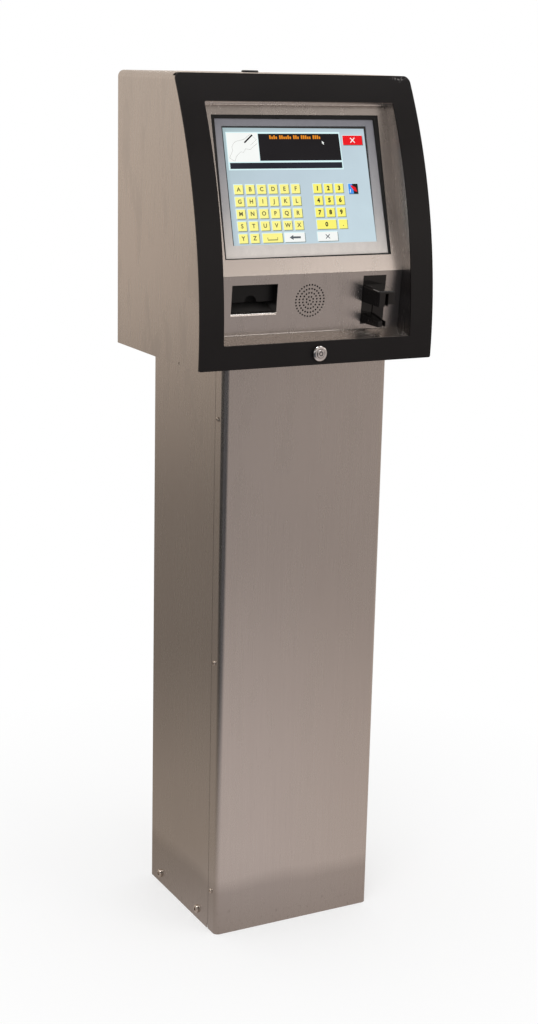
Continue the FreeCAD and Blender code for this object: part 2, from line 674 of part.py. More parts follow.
def frame_ring(outer, inner, y0, y1):
    """A rectangular ring on the screen's face, given as (x, x, up, up) outlines."""
    ring = box(outer[0], outer[1], y0, y1, outer[2], outer[3])
    return ring.cut(box(inner[0], inner[1], y0 - 1, y1 + 1, inner[2], inner[3]))


def shrunk(outline, by):
    return (outline[0] + by, outline[1] - by, outline[2] + by, outline[3] - by)


def screen_gasket():
    """Hand-cut foam strip in front of the display's rim, wider at the top than at the bottom."""
    x0, x1, low, high = shrunk(SCREEN_CUT, 0.2)
    strip = box(x0, x1, 0.8, SCREEN_RECESS, low, high)
    corners = [V(x, 0, up) for x, up in GASKET_OPENING]
    opening = Part.Face(Part.makePolygon(corners + corners[:1])).extrude(V(0, 9, 0))
    return on_screen_face(strip.cut(opening))


def screen_frame():
    ring = frame_ring(SCREEN_FRAME, SCREEN_WINDOW, SCREEN_RECESS, 9.0)
    return on_screen_face(ring)


def screen_glass():
    x0, x1, low, high = shrunk(SCREEN_WINDOW, 0.1)
    return on_screen_face(box(x0, x1, SCREEN_RECESS + 1.4, 9.0, low, high))


def screen_chassis():
    """Sheet-metal box of the display, with its circuit cover and ear holes."""
    x0, x1, low, high = SCREEN_CHASSIS
    case = box(x0, x1, 9.0, CHASSIS_DEPTH, low, high)
    case = round_edges(case, 4.0, AXIS_Y, lambda p: True)
    cover = box(-80, 60, CHASSIS_DEPTH, CHASSIS_DEPTH + 6, low + 40, high - 50)
    return on_screen_face(fuse([case, cover]))


BRACKET_UP = (SCREEN_CHASSIS[2] + 30, SCREEN_CHASSIS[3] - 30)


def screen_brackets():
    """Four angles that hang the display on studs behind the recessed panel."""
    edge = SCREEN_CHASSIS[1]
    brackets = []
    for up in BRACKET_UP:
        leg = box(edge, edge + 1.5, SHEET + 0.2, 24, up - 8, up + 8)
        foot = box(edge, edge + 13, SHEET, SHEET + 1.5, up - 8, up + 8)
        foot = foot.cut(bar((edge + 7.5, 0, up), AXIS_Y, 6, 2.2))
        brackets += both_sides(on_screen_face(fuse([leg, foot])))
    return brackets


def screen_nuts():
    nuts = []
    for up in BRACKET_UP:
        x = SCREEN_CHASSIS[1] + 7.5
        stud = bar((x, SHEET, up), AXIS_Y, 9, 1.9)
        nut = hexagon((x, SHEET + 1.5, up), AXIS_Y, 3.2, 7)
        nuts += both_sides(on_screen_face(fuse([stud, nut])))
    return nuts


def speaker():
    z = -SPEAKER_DROP
    flange = bar((0, SHEET, z), AXIS_Y, 3, 28.5)
    basket = Part.makeCone(25, 15, 12, V(0, SHEET + 3, z), AXIS_Y)
    magnet = bar((0, SHEET + 15, z), AXIS_Y, 8, 17)
    cone_space = Part.makeCone(24, 9, 12, V(0, SHEET, z), AXIS_Y)
    dome = Part.makeSphere(9, V(0, SHEET + 14, z))
    body = fuse([flange, basket, magnet]).cut(cone_space)
    dome = dome.common(bar((0, SHEET, z), AXIS_Y, 14, 8.8))
    return on_lower_face(fuse([body, dome]))


def ticket_chute():
    """Moulded pocket behind the tray opening, with a guard that has a thumb notch."""
    x0, x1, low, high = TRAY_CUT
    wall = 2.0
    outer = box(x0 - wall, x1 + wall, SHEET, CHUTE_DEPTH, low - 5.5, high + 1 + wall)
    floor = [(SHEET - 1, low - 2.2), (GUARD_DEPTH, low - 2.2), (CHUTE_DEPTH - wall, low + 8)]
    roof = [(CHUTE_DEPTH - wall, high + 0.5), (SHEET - 1, high + 0.5)]
    space = side_prism(floor + roof, x0 - 0.2, x1 + 0.2)
    lip_room = box(x0 - 0.2, x1 + 0.2, 0, TRAY_LIP_R + 0.5, low - 5.6, low)
    middle = (x0 + x1) / 2
    guard = box(x0 - 0.5, x1 + 0.5, GUARD_DEPTH, GUARD_DEPTH + wall, GUARD_LOW, high + 1)
    thumb = bar((middle, GUARD_DEPTH - 1, GUARD_LOW), AXIS_Y, wall + 2, THUMB_R)
    inlet = box(middle - 30, middle + 30, CHUTE_DEPTH - 4, CHUTE_DEPTH + 1, high - 14, high - 8)
    body = cut(outer, [space, lip_room, inlet])
    return on_lower_face(fuse([body, guard.cut(thumb)]))


def card_slot(y0, y1, width):
    return box(READER_MID - width / 2, READER_MID + width / 2, y0, y1, CARD_LOW, CARD_TOP)


def card_reader_bezel():
    """Black plate with a tall upper jaw and a slim lower jaw that guide the card."""
    x0, x1, low, high = shrunk(READER_CUT, 0.15)
    mid = READER_MID
    tip = -JAW_REACH
    plate = box(x0, x1, 0.3, 4, low, high)
    plan = [(x0 + 0.4, 1), (x1 - 0.4, 1), (mid + JAW_HALF, tip), (mid - JAW_HALF, tip)]
    upper = plan_prism(plan, JAW_LOW, -10)
    upper = upper.common(side_prism([(1, -21.0), (tip, -23.2), (tip, JAW_LOW), (1, JAW_LOW)], x0, x1))
    rims = [e for e in upper.Edges if e.CenterOfMass.y < 0.5 and e.CenterOfMass.z > JAW_LOW + 1]
    upper = upper.makeFillet(3.0, rims)
    under_lip = box(mid + 3, x1, tip - 1, 0.2, JAW_LOW - 1, JAW_LOW + 3)
    lower = plan_prism([(x0 + 1, 1), (mid + 5, 1), (mid + 4, tip + 3), (mid - 10.3, tip + 3)], -79.5, -60)
    lower = lower.common(side_prism([(1, -65.5), (tip + 3, -70.8), (tip + 3, -79.5), (1, -79.5)], x0, x1))
    rims = [e for e in lower.Edges if e.CenterOfMass.y < 0.5 and e.CenterOfMass.z > -79]
    lower = lower.makeFillet(1.2, rims)
    flare = [(mid - 2.8, tip - 1), (mid + 2.8, tip - 1), (mid + 1, 0), (mid - 1, 0)]
    mouth = plan_prism(flare, CARD_LOW, CARD_TOP - 1)
    body = fuse([plate, upper.cut(under_lip), lower])
    return on_lower_face(cut(body, [mouth, card_slot(-1, 5, 1.8)]))


def card_reader_body():
    case = box(READER_MID - 17, READER_MID + 17, 4, 55, READER_CUT[2] + 1, READER_CUT[3] - 1)
    case = round_edges(case, 3.0, AXIS_Y, lambda p: True)
    return on_lower_face(case.cut(card_slot(3, 50, 1.8)))


# ---- hinge, lock and struts ---------------------------------------------------------

def knuckle_span(i):
    pitch = 2 * HINGE_HALF / HINGE_KNUCKLES
    start = -HINGE_HALF + pitch * i
    return start + HINGE_GAP / 2, start + pitch - HINGE_GAP / 2


def hinge_leaf(plate, first):
    """A leaf with every other knuckle, cleared round the knuckles of the other leaf."""
    knuckles = []
    clearances = []
    for i in range(HINGE_KNUCKLES):
        x0, x1 = knuckle_span(i)
        if i % 2 == first:
            knuckles.append(bar((x0, HINGE_Y, HINGE_Z), AXIS_X, x1 - x0, KNUCKLE_R))
        else:
            x0 -= HINGE_GAP
            x1 += HINGE_GAP
            clearances.append(bar((x0, HINGE_Y, HINGE_Z), AXIS_X, x1 - x0, KNUCKLE_R + 0.5))
    bore = bar((-HINGE_HALF - 1, HINGE_Y, HINGE_Z), AXIS_X, 2 * HINGE_HALF + 2, HINGE_PIN_R + RUN)
    return cut(fuse([plate.cut(Part.makeCompound(clearances))] + knuckles), [bore])


def hinge_fixed_leaf():
    top = HEAD_TOP - SHEET
    plate = box(-HINGE_HALF, HINGE_HALF, HINGE_Y, HINGE_Y + 24, top - LEAF, top)
    return hinge_leaf(plate, 0)


def hinge_door_leaf():
    plate = curve_band(DOOR_SHEET, DOOR_SHEET + LEAF, HINGE_Z - 20, HINGE_Z + 1, -HINGE_HALF, HINGE_HALF)
    return hinge_leaf(plate, 1)


def hinge_pin():
    return bar((-HINGE_HALF + 0.2, HINGE_Y, HINGE_Z), AXIS_X, 2 * HINGE_HALF - 0.4, HINGE_PIN_R)


LOCK_FACE = LOCK_Y - 6.3
LOCK_SEAT = front_y(LOCK_Z + LOCK_HEAD_R)
LOCK_END = LOCK_Y + 14.8
CAM_Y = front_y(JAMB_LOW_TOP, JAMB_FRONT + SHEET) + 0.7


def lock_barrel():
    head = bar((0, LOCK_FACE, LOCK_Z), AXIS_Y, LOCK_SEAT - LOCK_FACE, LOCK_HEAD_R)
    rim = [e for e in head.Edges if abs(e.CenterOfMass.y - LOCK_FACE) < 0.01]
    head = head.makeFillet(3.4, rim[:1])
    body = bar((0, LOCK_SEAT, LOCK_Z), AXIS_Y, LOCK_END - LOCK_SEAT, LOCK_BODY_R)
    bore = bar((0, LOCK_FACE - 1, LOCK_Z), AXIS_Y, LOCK_END - LOCK_FACE + 2, PLUG_R + RUN)
    funnel = Part.makeCone(PLUG_R + 1.2, PLUG_R, 1.2, V(0, LOCK_FACE, LOCK_Z), AXIS_Y)
    return cut(fuse([head, body]), [bore, funnel])


def lock_nut():
    start = front_y(LOCK_Z - 12.5, DOOR_SHEET)
    barrel = bar((0, start, LOCK_Z), AXIS_Y, 6, LOCK_BODY_R + 0.05)
    return hexagon((0, start, LOCK_Z), AXIS_Y, 6, 25).cut(barrel)


def lock_plug():
    """Turning core with the round keyway, its centre post and the tail that holds the cam."""
    start = LOCK_FACE - PLUG_PROUD
    core = bar((0, start, LOCK_Z), AXIS_Y, CAM_Y - start, PLUG_R)
    core = core.makeFillet(0.8, [e for e in core.Edges if abs(e.CenterOfMass.y - start) < 0.01])
    keyway = tube((0, start, LOCK_Z), AXIS_Y, 7, 3.7, 2.0)
    key_notch = box(-0.8, 0.8, start, start + 5, LOCK_Z + 3.2, LOCK_Z + 5.0)
    tail = bar((0, CAM_Y, LOCK_Z), AXIS_Y, 3, 3.9)
    return cut(fuse([core, tail]), [keyway, key_notch])


def lock_cam():
    """Latch arm: it points sideways when open and down behind the jamb when locked."""
    hub = bar((0, CAM_Y, LOCK_Z), AXIS_Y, 3, 6.5)
    arm = box(0, CAM_REACH, CAM_Y, CAM_Y + 3, LOCK_Z - 6, LOCK_Z + 6)
    arm = round_edges(arm, 2.5, AXIS_Y, lambda p: p.x > 1)
    return fuse([hub, arm]).cut(bar((0, CAM_Y, LOCK_Z), AXIS_Y, 3, 3.95))


def cam_screw():
    return hexagon((0, CAM_Y + 3, LOCK_Z), AXIS_Y, 3, 8)


STRUT_LINE = V(0, STRUT_DOOR_Y - STRUT_HEAD_Y, STRUT_DOOR_Z - STRUT_HEAD_Z)
STRUT_LENGTH = STRUT_LINE.Length
STRUT_WAY = V(STRUT_LINE).normalize()
STRUT_SEAT = V(STRUT_X, STRUT_HEAD_Y, STRUT_HEAD_Z)
EYE = 2.5


def along_strut(distance):
    return tuple(STRUT_SEAT + STRUT_WAY * distance)


def strut_cylinder():
    eye = bar((STRUT_X - EYE, STRUT_HEAD_Y, STRUT_HEAD_Z), AXIS_X, 2 * EYE, 5.5)
    neck = bar(along_strut(0), STRUT_WAY, STRUT_START, 2.4)
    tube_body = bar(along_strut(STRUT_START - 0.1), STRUT_WAY, STRUT_TUBE, STRUT_TUBE_R)
    chamber = bar(along_strut(STRUT_START + 2), STRUT_WAY, STRUT_TUBE - 5, STRUT_TUBE_R - 1)
    guide = bar(along_strut(STRUT_START), STRUT_WAY, STRUT_TUBE + 2, STRUT_ROD_R + RUN)
    guide = guide.cut(bar(along_strut(STRUT_START - 1), STRUT_WAY, 4, STRUT_TUBE_R))
    bore = bar((STRUT_X - 5, STRUT_HEAD_Y, STRUT_HEAD_Z), AXIS_X, 10, 3 + RUN)
    return cut(fuse([eye, neck, tube_body]), [chamber, guide, bore])


def strut_rod():
    start = STRUT_START + 6
    rod = bar(along_strut(start), STRUT_WAY, STRUT_LENGTH - start - 1, STRUT_ROD_R)
    piston = bar(along_strut(start), STRUT_WAY, 5, STRUT_TUBE_R - 1 - RUN)
    eye = bar((STRUT_X - EYE, STRUT_DOOR_Y, STRUT_DOOR_Z), AXIS_X, 2 * EYE, 5.5)
    bore = bar((STRUT_X - 5, STRUT_DOOR_Y, STRUT_DOOR_Z), AXIS_X, 10, 3.2)
    return fuse([rod, piston, eye]).cut(bore)


def strut_head_brackets():
    wall = HALF_HEAD - SHEET
    plate = box(wall - 2, wall, STRUT_HEAD_Y - 14, STRUT_HEAD_Y + 14, STRUT_HEAD_Z - 14, STRUT_HEAD_Z + 14)
    plate = round_edges(plate, 5, AXIS_X, lambda p: True)
    shoulder_x = STRUT_X + EYE + 0.6
    shoulder = bar((shoulder_x, STRUT_HEAD_Y, STRUT_HEAD_Z), AXIS_X, wall - 2 - shoulder_x, 5)
    stud_x = STRUT_X - EYE - 1.5
    stud = bar((stud_x, STRUT_HEAD_Y, STRUT_HEAD_Z), AXIS_X, shoulder_x - stud_x, 3)
    return both_sides(fuse([plate, shoulder, stud]))


def strut_door_brackets():
    """Angles behind the door's border: each arm passes inside the jamb and carries a stud."""
    arm_x = STRUT_X + 8.5
    low = STRUT_DOOR_Z - 9
    high = STRUT_DOOR_Z + 8
    foot = curve_band(DOOR_SHEET, DOOR_SHEET + 2, low, high, arm_x - 4, arm_x + 12)
    arm = behind_curve(DOOR_SHEET, STRUT_DOOR_Y + 7, low, high, arm_x, arm_x + 2)
    arm = round_edges(arm, 5, AXIS_X, lambda p: p.y > STRUT_DOOR_Y)
    stud_x = STRUT_X + STRUT_ROD_R + 0.6
    stud = bar((stud_x, STRUT_DOOR_Y, STRUT_DOOR_Z), AXIS_X, arm_x - stud_x, 4)
    return both_sides(fuse([foot, arm, stud]))


# ---- equipment in the head ----------------------------------------------------------

def controller_box():
    case = box(-95, 95, PANEL_Y - 49, PANEL_Y - 5, 1190, 1320)
    case = round_edges(case, 3.0, AXIS_Y, lambda p: True)
    fins = [box(x, x + 2, PANEL_Y - 55, PANEL_Y - 49, 1196, 1314) for x in range(-84, 84, 8)]
    ports = [box(x, x + 16, PANEL_Y - 42, PANEL_Y - 30, 1188, 1191) for x in (-70, -45, -20, 30, 55)]
    return fuse([case] + fins).cut(Part.makeCompound(ports))


def controller_standoffs():
    places = [(x, z) for x in (-80, 80) for z in (1203, 1307)]
    return [hexagon((x, PANEL_Y - 5, z), AXIS_Y, 5, 7) for x, z in places]


def power_supply():
    case = box(*SUPPLY)
    slots = [box(x, x + 3, SUPPLY[2] - 1, SUPPLY[2] + 50, SUPPLY[5] - 1.5, SUPPLY[5] + 1)
             for x in range(70, 154, 8)]
    return cut(case, slots)


def fan_frame():
    half = FAN_SIZE / 2
    y0 = PANEL_Y - FAN_DEPTH
    frame = box(FAN_X - half, FAN_X + half, y0, PANEL_Y, FAN_Z - half, FAN_Z + half)
    frame = round_edges(frame, 4.0, AXIS_Y, lambda p: True)
    frame = frame.cut(bar((FAN_X, y0 - 1, FAN_Z), AXIS_Y, FAN_DEPTH + 2, 38))
    pieces = [frame, bar((FAN_X, PANEL_Y - 7, FAN_Z), AXIS_Y, 6, 15)]
    for i in range(4):
        arm = box(FAN_X + 10, FAN_X + 39, PANEL_Y - 5, PANEL_Y - 1, FAN_Z - 1.5, FAN_Z + 1.5)
        pieces.append(turned(arm, (FAN_X, 0, FAN_Z), AXIS_Y, 45 + 90 * i))
    bore = bar((FAN_X, PANEL_Y - 8, FAN_Z), AXIS_Y, 6, 2 + RUN)
    return fuse(pieces).cut(bore)


def fan_impeller():
    y0 = PANEL_Y - FAN_DEPTH + 2
    hub = bar((FAN_X, y0, FAN_Z), AXIS_Y, FAN_DEPTH - 10, 15)
    shaft = bar((FAN_X, PANEL_Y - 9, FAN_Z), AXIS_Y, 6, 2)
    blades = []
    for i in range(7):
        blade = box(FAN_X + 13, FAN_X + 36, y0 + 6.5, y0 + 8, FAN_Z - 9, FAN_Z + 9)
        blade = turned(blade, (FAN_X, y0 + 7.2, FAN_Z), AXIS_X, 38)
        blade = turned(blade, (FAN_X, 0, FAN_Z), AXIS_Y, 360 / 7 * i)
        blades.append(blade)
    blades = fuse(blades).common(bar((FAN_X, y0, FAN_Z), AXIS_Y, FAN_DEPTH - 9.5, 36.5))
    return fuse([hub, shaft, blades])


def printer_stand():
    x0, x1, y0, y1, low, _ = PRINTER
    shelf = box(x0 - 1.5, x1 + 1.5, y0, y1, low - SHEET, low)
    leg = box(x1, x1 + 1.5, y0, y1, PAN_TOP, low - SHEET)
    foot = box(x1, x1 + 14, y0, y1, PAN_TOP, PAN_TOP + SHEET)
    other_leg = box(x0 - 1.5, x0, y0, y1, PAN_TOP, low - SHEET)
    other_foot = box(x0 - 14, x0, y0, y1, PAN_TOP, PAN_TOP + SHEET)
    return fuse([shelf, leg, foot, other_leg, other_foot])


CHEEK = 8.0


def printer_body():
    """Printer block with a round paper bucket, a platen trough and ears for the lid."""
    x0, x1, y0, y1, low, high = PRINTER
    block = round_edges(box(*PRINTER), 4.0, AXIS_Z, lambda p: True)
    pieces = [block]
    for x in (x0, x1 - CHEEK):
        pieces.append(bar((x, ROLL_Y, high), AXIS_X, CHEEK, 12))
    for x in (x0 + CHEEK, x1 - CHEEK - 5):
        pieces.append(bar((x, LID_HINGE_Y, LID_HINGE_Z), AXIS_X, 5, 3.8))
        pieces.append(box(x, x + 5, LID_HINGE_Y - 3, y1, high - 5, LID_HINGE_Z))
    inside = x1 - x0 - 2 * CHEEK
    bucket = bar((x0 + CHEEK, ROLL_Y, high), AXIS_X, inside, ROLL_R + 3)
    spindle_hole = bar((x0 + 2, ROLL_Y, high), AXIS_X, x1 - x0 - 4, ROLL_CORE_R)
    trough = bar((x0 + CHEEK, PLATEN_Y, PLATEN_Z), AXIS_X, inside, PLATEN_R + 0.6)
    trough_mouth = box(x0 + CHEEK, x1 - CHEEK, y0 - 1, PLATEN_Y + PLATEN_R + 0.6, PLATEN_Z, high + 1)
    bearing = bar((x0 + 3, PLATEN_Y, PLATEN_Z), AXIS_X, x1 - x0 - 6, 2.5 + RUN)
    pin_hole = bar((x0 + CHEEK - 1, LID_HINGE_Y, LID_HINGE_Z), AXIS_X, inside + 2, 1.5)
    return cut(fuse(pieces), [bucket, spindle_hole, trough, trough_mouth, bearing, pin_hole])


def printer_pins():
    """The paper roll's spindle and the lid's hinge pin, both fixed in the printer."""
    x0, x1 = PRINTER[:2]
    spindle = bar((x0 + 2.2, ROLL_Y, PRINTER[5]), AXIS_X, x1 - x0 - 4.4, ROLL_CORE_R - 0.05)
    inside = x1 - x0 - 2 * CHEEK
    pin = bar((x0 + CHEEK - 0.8, LID_HINGE_Y, LID_HINGE_Z), AXIS_X, inside + 1.6, 1.48)
    return [spindle, pin]


def paper_roll():
    x0, x1 = PRINTER[:2]
    width = x1 - x0 - 2 * CHEEK - 3
    return tube((x0 + CHEEK + 1.5, ROLL_Y, PRINTER[5]), AXIS_X, width, ROLL_R, ROLL_CORE_R)


def platen_roller():
    x0, x1 = PRINTER[:2]
    inside = x1 - x0 - 2 * CHEEK
    roller = bar((x0 + CHEEK + 0.5, PLATEN_Y, PLATEN_Z), AXIS_X, inside - 1, PLATEN_R)
    shaft = bar((x0 + 3.5, PLATEN_Y, PLATEN_Z), AXIS_X, x1 - x0 - 7, 2.5)
    flat = box(x0, x0 + 6, PLATEN_Y - 5, PLATEN_Y + 5, PLATEN_Z + 1.8, PLATEN_Z + 6)
    return fuse([roller, shaft]).cut(flat)


def printer_lid():
    """Half-round cover over the paper, with a hinge barrel at its back edge."""
    x0 = PRINTER[0] + CHEEK + 5.6
    x1 = PRINTER[1] - CHEEK - 5.6
    high = PRINTER[5]
    arch = tube((x0, ROLL_Y, high), AXIS_X, x1 - x0, ROLL_R + 6.5, ROLL_R + 4)
    arch = arch.common(box(x0, x1, ROLL_Y - 50, ROLL_Y + 50, high + 2, high + 60))
    barrel = bar((x0, LID_HINGE_Y, LID_HINGE_Z), AXIS_X, x1 - x0, 3.6)
    link = box(x0, x1, ROLL_Y + ROLL_R + 4.5, LID_HINGE_Y, LID_HINGE_Z - 1, LID_HINGE_Z + 1.5)
    link = link.cut(bar((x0, ROLL_Y, high), AXIS_X, x1 - x0, ROLL_R + 4.1))
    grip = box(x0 + 14, x1 - 14, ROLL_Y - ROLL_R - 13, ROLL_Y - ROLL_R - 5, high + 2.5, high + 5)
    bore = bar((x0 - 1, LID_HINGE_Y, LID_HINGE_Z), AXIS_X, x1 - x0 + 2, 1.5 + RUN)
    return fuse([arch, barrel, link, grip]).cut(bore)


# ---- nodes --------------------------------------------------------------------------

NODES = {
    "base_bracket": base_bracket,
    "base_side_screws": base_side_screws,
    "cable_bush": cable_bush,
    "pedestal_shell": pedestal_shell,
    "pedestal_front_cover": pedestal_front_cover,
    "cover_screws": cover_screws,
    "cover_nuts": cover_nuts,
    "pedestal_top_plate": pedestal_top_plate,
    "head_bolts": head_bolts,
    "head_nuts": head_nuts,
    "din_rail": din_rail,
    "circuit_breaker": circuit_breaker,
    "breaker_toggle": breaker_toggle,
    "terminal_blocks": terminal_blocks,
    "power_cable": power_cable,
    "cable_clips": cable_clips,
    "head_shell": head_shell,
    "head_floor": head_floor,
    "head_front_jamb": head_front_jamb,
    "door_seal": door_seal,
    "back_panel": back_panel,
    "back_panel_screws": back_panel_screws,
    "top_plug": top_plug,
    "door_frame": door_frame,
    "recess_panel": recess_panel,
    "screen_gasket": screen_gasket,
    "screen_frame": screen_frame,
    "screen_glass": screen_glass,
    "screen_chassis": screen_chassis,
    "screen_brackets": screen_brackets,
    "screen_nuts": screen_nuts,
    "speaker": speaker,
    "ticket_chute": ticket_chute,
    "card_reader_bezel": card_reader_bezel,
    "card_reader_body": card_reader_body,
    "hinge_fixed_leaf": hinge_fixed_leaf,
    "hinge_door_leaf": hinge_door_leaf,
    "hinge_pin": hinge_pin,
    "lock_barrel": lock_barrel,
    "lock_nut": lock_nut,
    "lock_plug": lock_plug,
    "lock_cam": lock_cam,
    "cam_screw": cam_screw,
    "strut_cylinder_right": strut_cylinder,
    "strut_cylinder_left": lambda: mirrored(strut_cylinder()),
    "strut_rod_right": strut_rod,
    "strut_rod_left": lambda: mirrored(strut_rod()),
    "strut_head_brackets": strut_head_brackets,
    "strut_door_brackets": strut_door_brackets,
    "controller_box": controller_box,
    "controller_standoffs": controller_standoffs,
    "power_supply": power_supply,
    "fan_frame": fan_frame,
    "fan_impeller": fan_impeller,
    "printer_stand": printer_stand,
    "printer_body": printer_body,
    "printer_pins": printer_pins,
    "paper_roll": paper_roll,
    "platen_roller": platen_roller,
    "printer_lid": printer_lid,
}


def main():
    os.makedirs("parts", exist_ok=True)
    for name, make in NODES.items():
        made = make()
        solids = []
        for shape in made if isinstance(made, list) else [made]:
            solids += shape.Solids
        print(name, len(solids), round(sum(s.Volume for s in solids)), all(s.isValid() for s in solids))
        shape = solids[0] if len(solids) == 1 else Part.makeCompound(solids)
        shape.exportStep(f"parts/{name}.step")


main()
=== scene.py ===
import math
import random

import bmesh
import bpy
from mathutils import Matrix, Vector


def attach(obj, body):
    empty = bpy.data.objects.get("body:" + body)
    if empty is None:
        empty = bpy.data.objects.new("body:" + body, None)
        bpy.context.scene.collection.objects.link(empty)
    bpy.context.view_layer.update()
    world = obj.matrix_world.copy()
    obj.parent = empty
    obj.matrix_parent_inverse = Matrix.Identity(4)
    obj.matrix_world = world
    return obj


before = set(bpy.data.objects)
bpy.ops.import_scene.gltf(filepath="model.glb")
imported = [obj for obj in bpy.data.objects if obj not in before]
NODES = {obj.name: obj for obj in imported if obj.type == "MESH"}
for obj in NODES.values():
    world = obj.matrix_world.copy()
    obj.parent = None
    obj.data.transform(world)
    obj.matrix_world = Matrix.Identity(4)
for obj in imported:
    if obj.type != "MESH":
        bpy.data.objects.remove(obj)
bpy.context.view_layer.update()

MM = 0.001


# ---- places on the machine, in millimetres, as the CAD has them -----------------------

HEAD_FRONT = -161.0
BEND = Vector((0, HEAD_FRONT + 29.4, 1066.3))
SCREEN_TILT = -15.12
LOWER_TILT = 5.26
GLASS_FRONT = 5.0


def face_matrix(degrees):
    """From a face of the recess to the machine: x along the bend, y inwards, z up the face."""
    turn = Matrix.Rotation(math.radians(degrees), 4, "X")
    return Matrix.Translation(BEND * MM) @ turn @ Matrix.Scale(MM, 4)


ON_SCREEN = face_matrix(SCREEN_TILT)
ON_LOWER = face_matrix(LOWER_TILT)
IN_ROW = Matrix.Scale(MM, 4)


# ---- places on the machine, in metres: painted shade, a painted highlight, chipped paint ---

SHADED_RECESS_WALL = (0.1592, 0.1602)
TRAY_LIP_HIGHLIGHT = (-0.0948, 1.0080)
CHIPPED_CORNER = (0.180, 1.3525)


# ---- node materials -------------------------------------------------------------------

class Nodes:
    """Short calls that add and join nodes in one shader tree."""

    def __init__(self, tree, place):
        self.tree = tree
        self.place = tree.nodes.new("ShaderNodeTexCoord").outputs[place]

    def node(self, kind, **values):
        made = self.tree.nodes.new("ShaderNode" + kind)
        for key, value in values.items():
            setattr(made, key, value)
        return made

    def join(self, source, target):
        self.tree.links.new(source, target)

    def put(self, socket, value):
        """Sets a socket to a number or colour, or joins an output to it."""
        if isinstance(value, (int, float)):
            socket.default_value = value
        elif isinstance(value, tuple):
            socket.default_value = value if len(value) == 4 else (*value, 1.0)
        else:
            self.join(value, socket)

    def noise(self, scale, detail=3.0, rough=0.55):
        """Noise at so many cells a metre along x, y and z."""
        mapping = self.node("Mapping")
        mapping.inputs["Scale"].default_value = scale
        self.join(self.place, mapping.inputs["Vector"])
        made = self.node("TexNoise")
        made.inputs["Scale"].default_value = 1.0
        made.inputs["Detail"].default_value = detail
        made.inputs["Roughness"].default_value = rough
        self.join(mapping.outputs["Vector"], made.inputs["Vector"])
        return made.outputs["Fac"]

    def ramp(self, value, stops):
        """A ramp from (position, grey) or (position, colour) stops."""
        made = self.node("ValToRGB")
        ramp = made.color_ramp
        while len(ramp.elements) < len(stops):
            ramp.elements.new(0.5)
        for element, (position, shade) in zip(ramp.elements, stops):
            element.position = position
            element.color = (*shade, 1) if isinstance(shade, tuple) else (shade, shade, shade, 1)
        self.join(value, made.inputs["Fac"])
        return made.outputs["Color"]

    def math(self, operation, a, b=0.0):
        made = self.node("Math", operation=operation)
        self.put(made.inputs[0], a)
        self.put(made.inputs[1], b)
        return made.outputs["Value"]

    def span(self, value, low, high, to_low=0.0, to_high=1.0):
        """Value taken from low .. high to to_low .. to_high, and held at the ends."""
        made = self.node("MapRange")
        for socket, number in zip(list(made.inputs)[1:5], (low, high, to_low, to_high)):
            socket.default_value = number
        self.join(value, made.inputs["Value"])
        return made.outputs["Result"]

    def axis(self, which):
        made = self.node("SeparateXYZ")
        self.join(self.place, made.inputs["Vector"])
        return made.outputs[which]

    def grey(self, value):
        made = self.node("CombineColor")
        for socket in made.inputs:
            self.join(value, socket)
        return made.outputs["Color"]

    def mix(self, factor, a, b, how="MIX"):
        made = self.node("Mix", data_type="RGBA", blend_type=how)
        sockets = [s for s in made.inputs if s.type == "RGBA"]
        for socket, value in zip([made.inputs["Factor"]] + sockets, (factor, a, b)):
            self.put(socket, value)
        return [s for s in made.outputs if s.type == "RGBA"][0]


class Mat(Nodes):
    """One Principled material, whose colour, roughness and bump build up layer by layer."""

    def __init__(self, name, color, rough, metal=0.0, **sockets):
        self.material = bpy.data.materials.new(name)
        self.material.use_nodes = True
        super().__init__(self.material.node_tree, "Object")
        self.shader = self.tree.nodes["Principled BSDF"]
        self.color = (*color, 1.0)
        self.rough = rough
        self.shader.inputs["Base Color"].default_value = self.color
        self.shader.inputs["Roughness"].default_value = rough
        self.shader.inputs["Metallic"].default_value = metal
        for socket, value in sockets.items():
            self.shader.inputs[socket.replace("_", " ")].default_value = value
        self.color_out = None
        self.rough_out = None
        self.bump_out = None

    def tint(self, value, spread):
        """Multiplies the colour so far by 1 - spread .. 1 + spread as value goes from 0 to 1."""
        shade = self.grey(self.span(value, 0.0, 1.0, 1 - spread, 1 + spread))
        self.color_out = self.mix(1.0, self.color_out or self.color, shade, "MULTIPLY")

    def cover(self, mask, color):
        """Lays a colour over the colour so far where the mask is 1."""
        self.color_out = self.mix(mask, self.color_out or self.color, color)

    def roughen(self, value, spread):
        before = self.rough if self.rough_out is None else self.rough_out
        self.rough_out = self.math("ADD", self.span(value, 0.0, 1.0, -spread, spread), before)

    def bump(self, value, strength, distance=0.0002):
        made = self.node("Bump")
        made.inputs["Strength"].default_value = strength
        made.inputs["Distance"].default_value = distance
        self.join(value, made.inputs["Height"])
        if self.bump_out is not None:
            self.join(self.bump_out, made.inputs["Normal"])
        self.bump_out = made.outputs["Normal"]

    def shine(self, color):
        """Lets the material give off this colour by itself."""
        self.join(color, self.shader.inputs["Emission Color"])
        self.shader.inputs["Emission Strength"].default_value = 1.0

    def done(self):
        if self.color_out is not None:
            self.join(self.color_out, self.shader.inputs["Base Color"])
        if self.rough_out is not None:
            self.join(self.rough_out, self.shader.inputs["Roughness"])
        if self.bump_out is not None:
            self.join(self.bump_out, self.shader.inputs["Normal"])
        return self.material


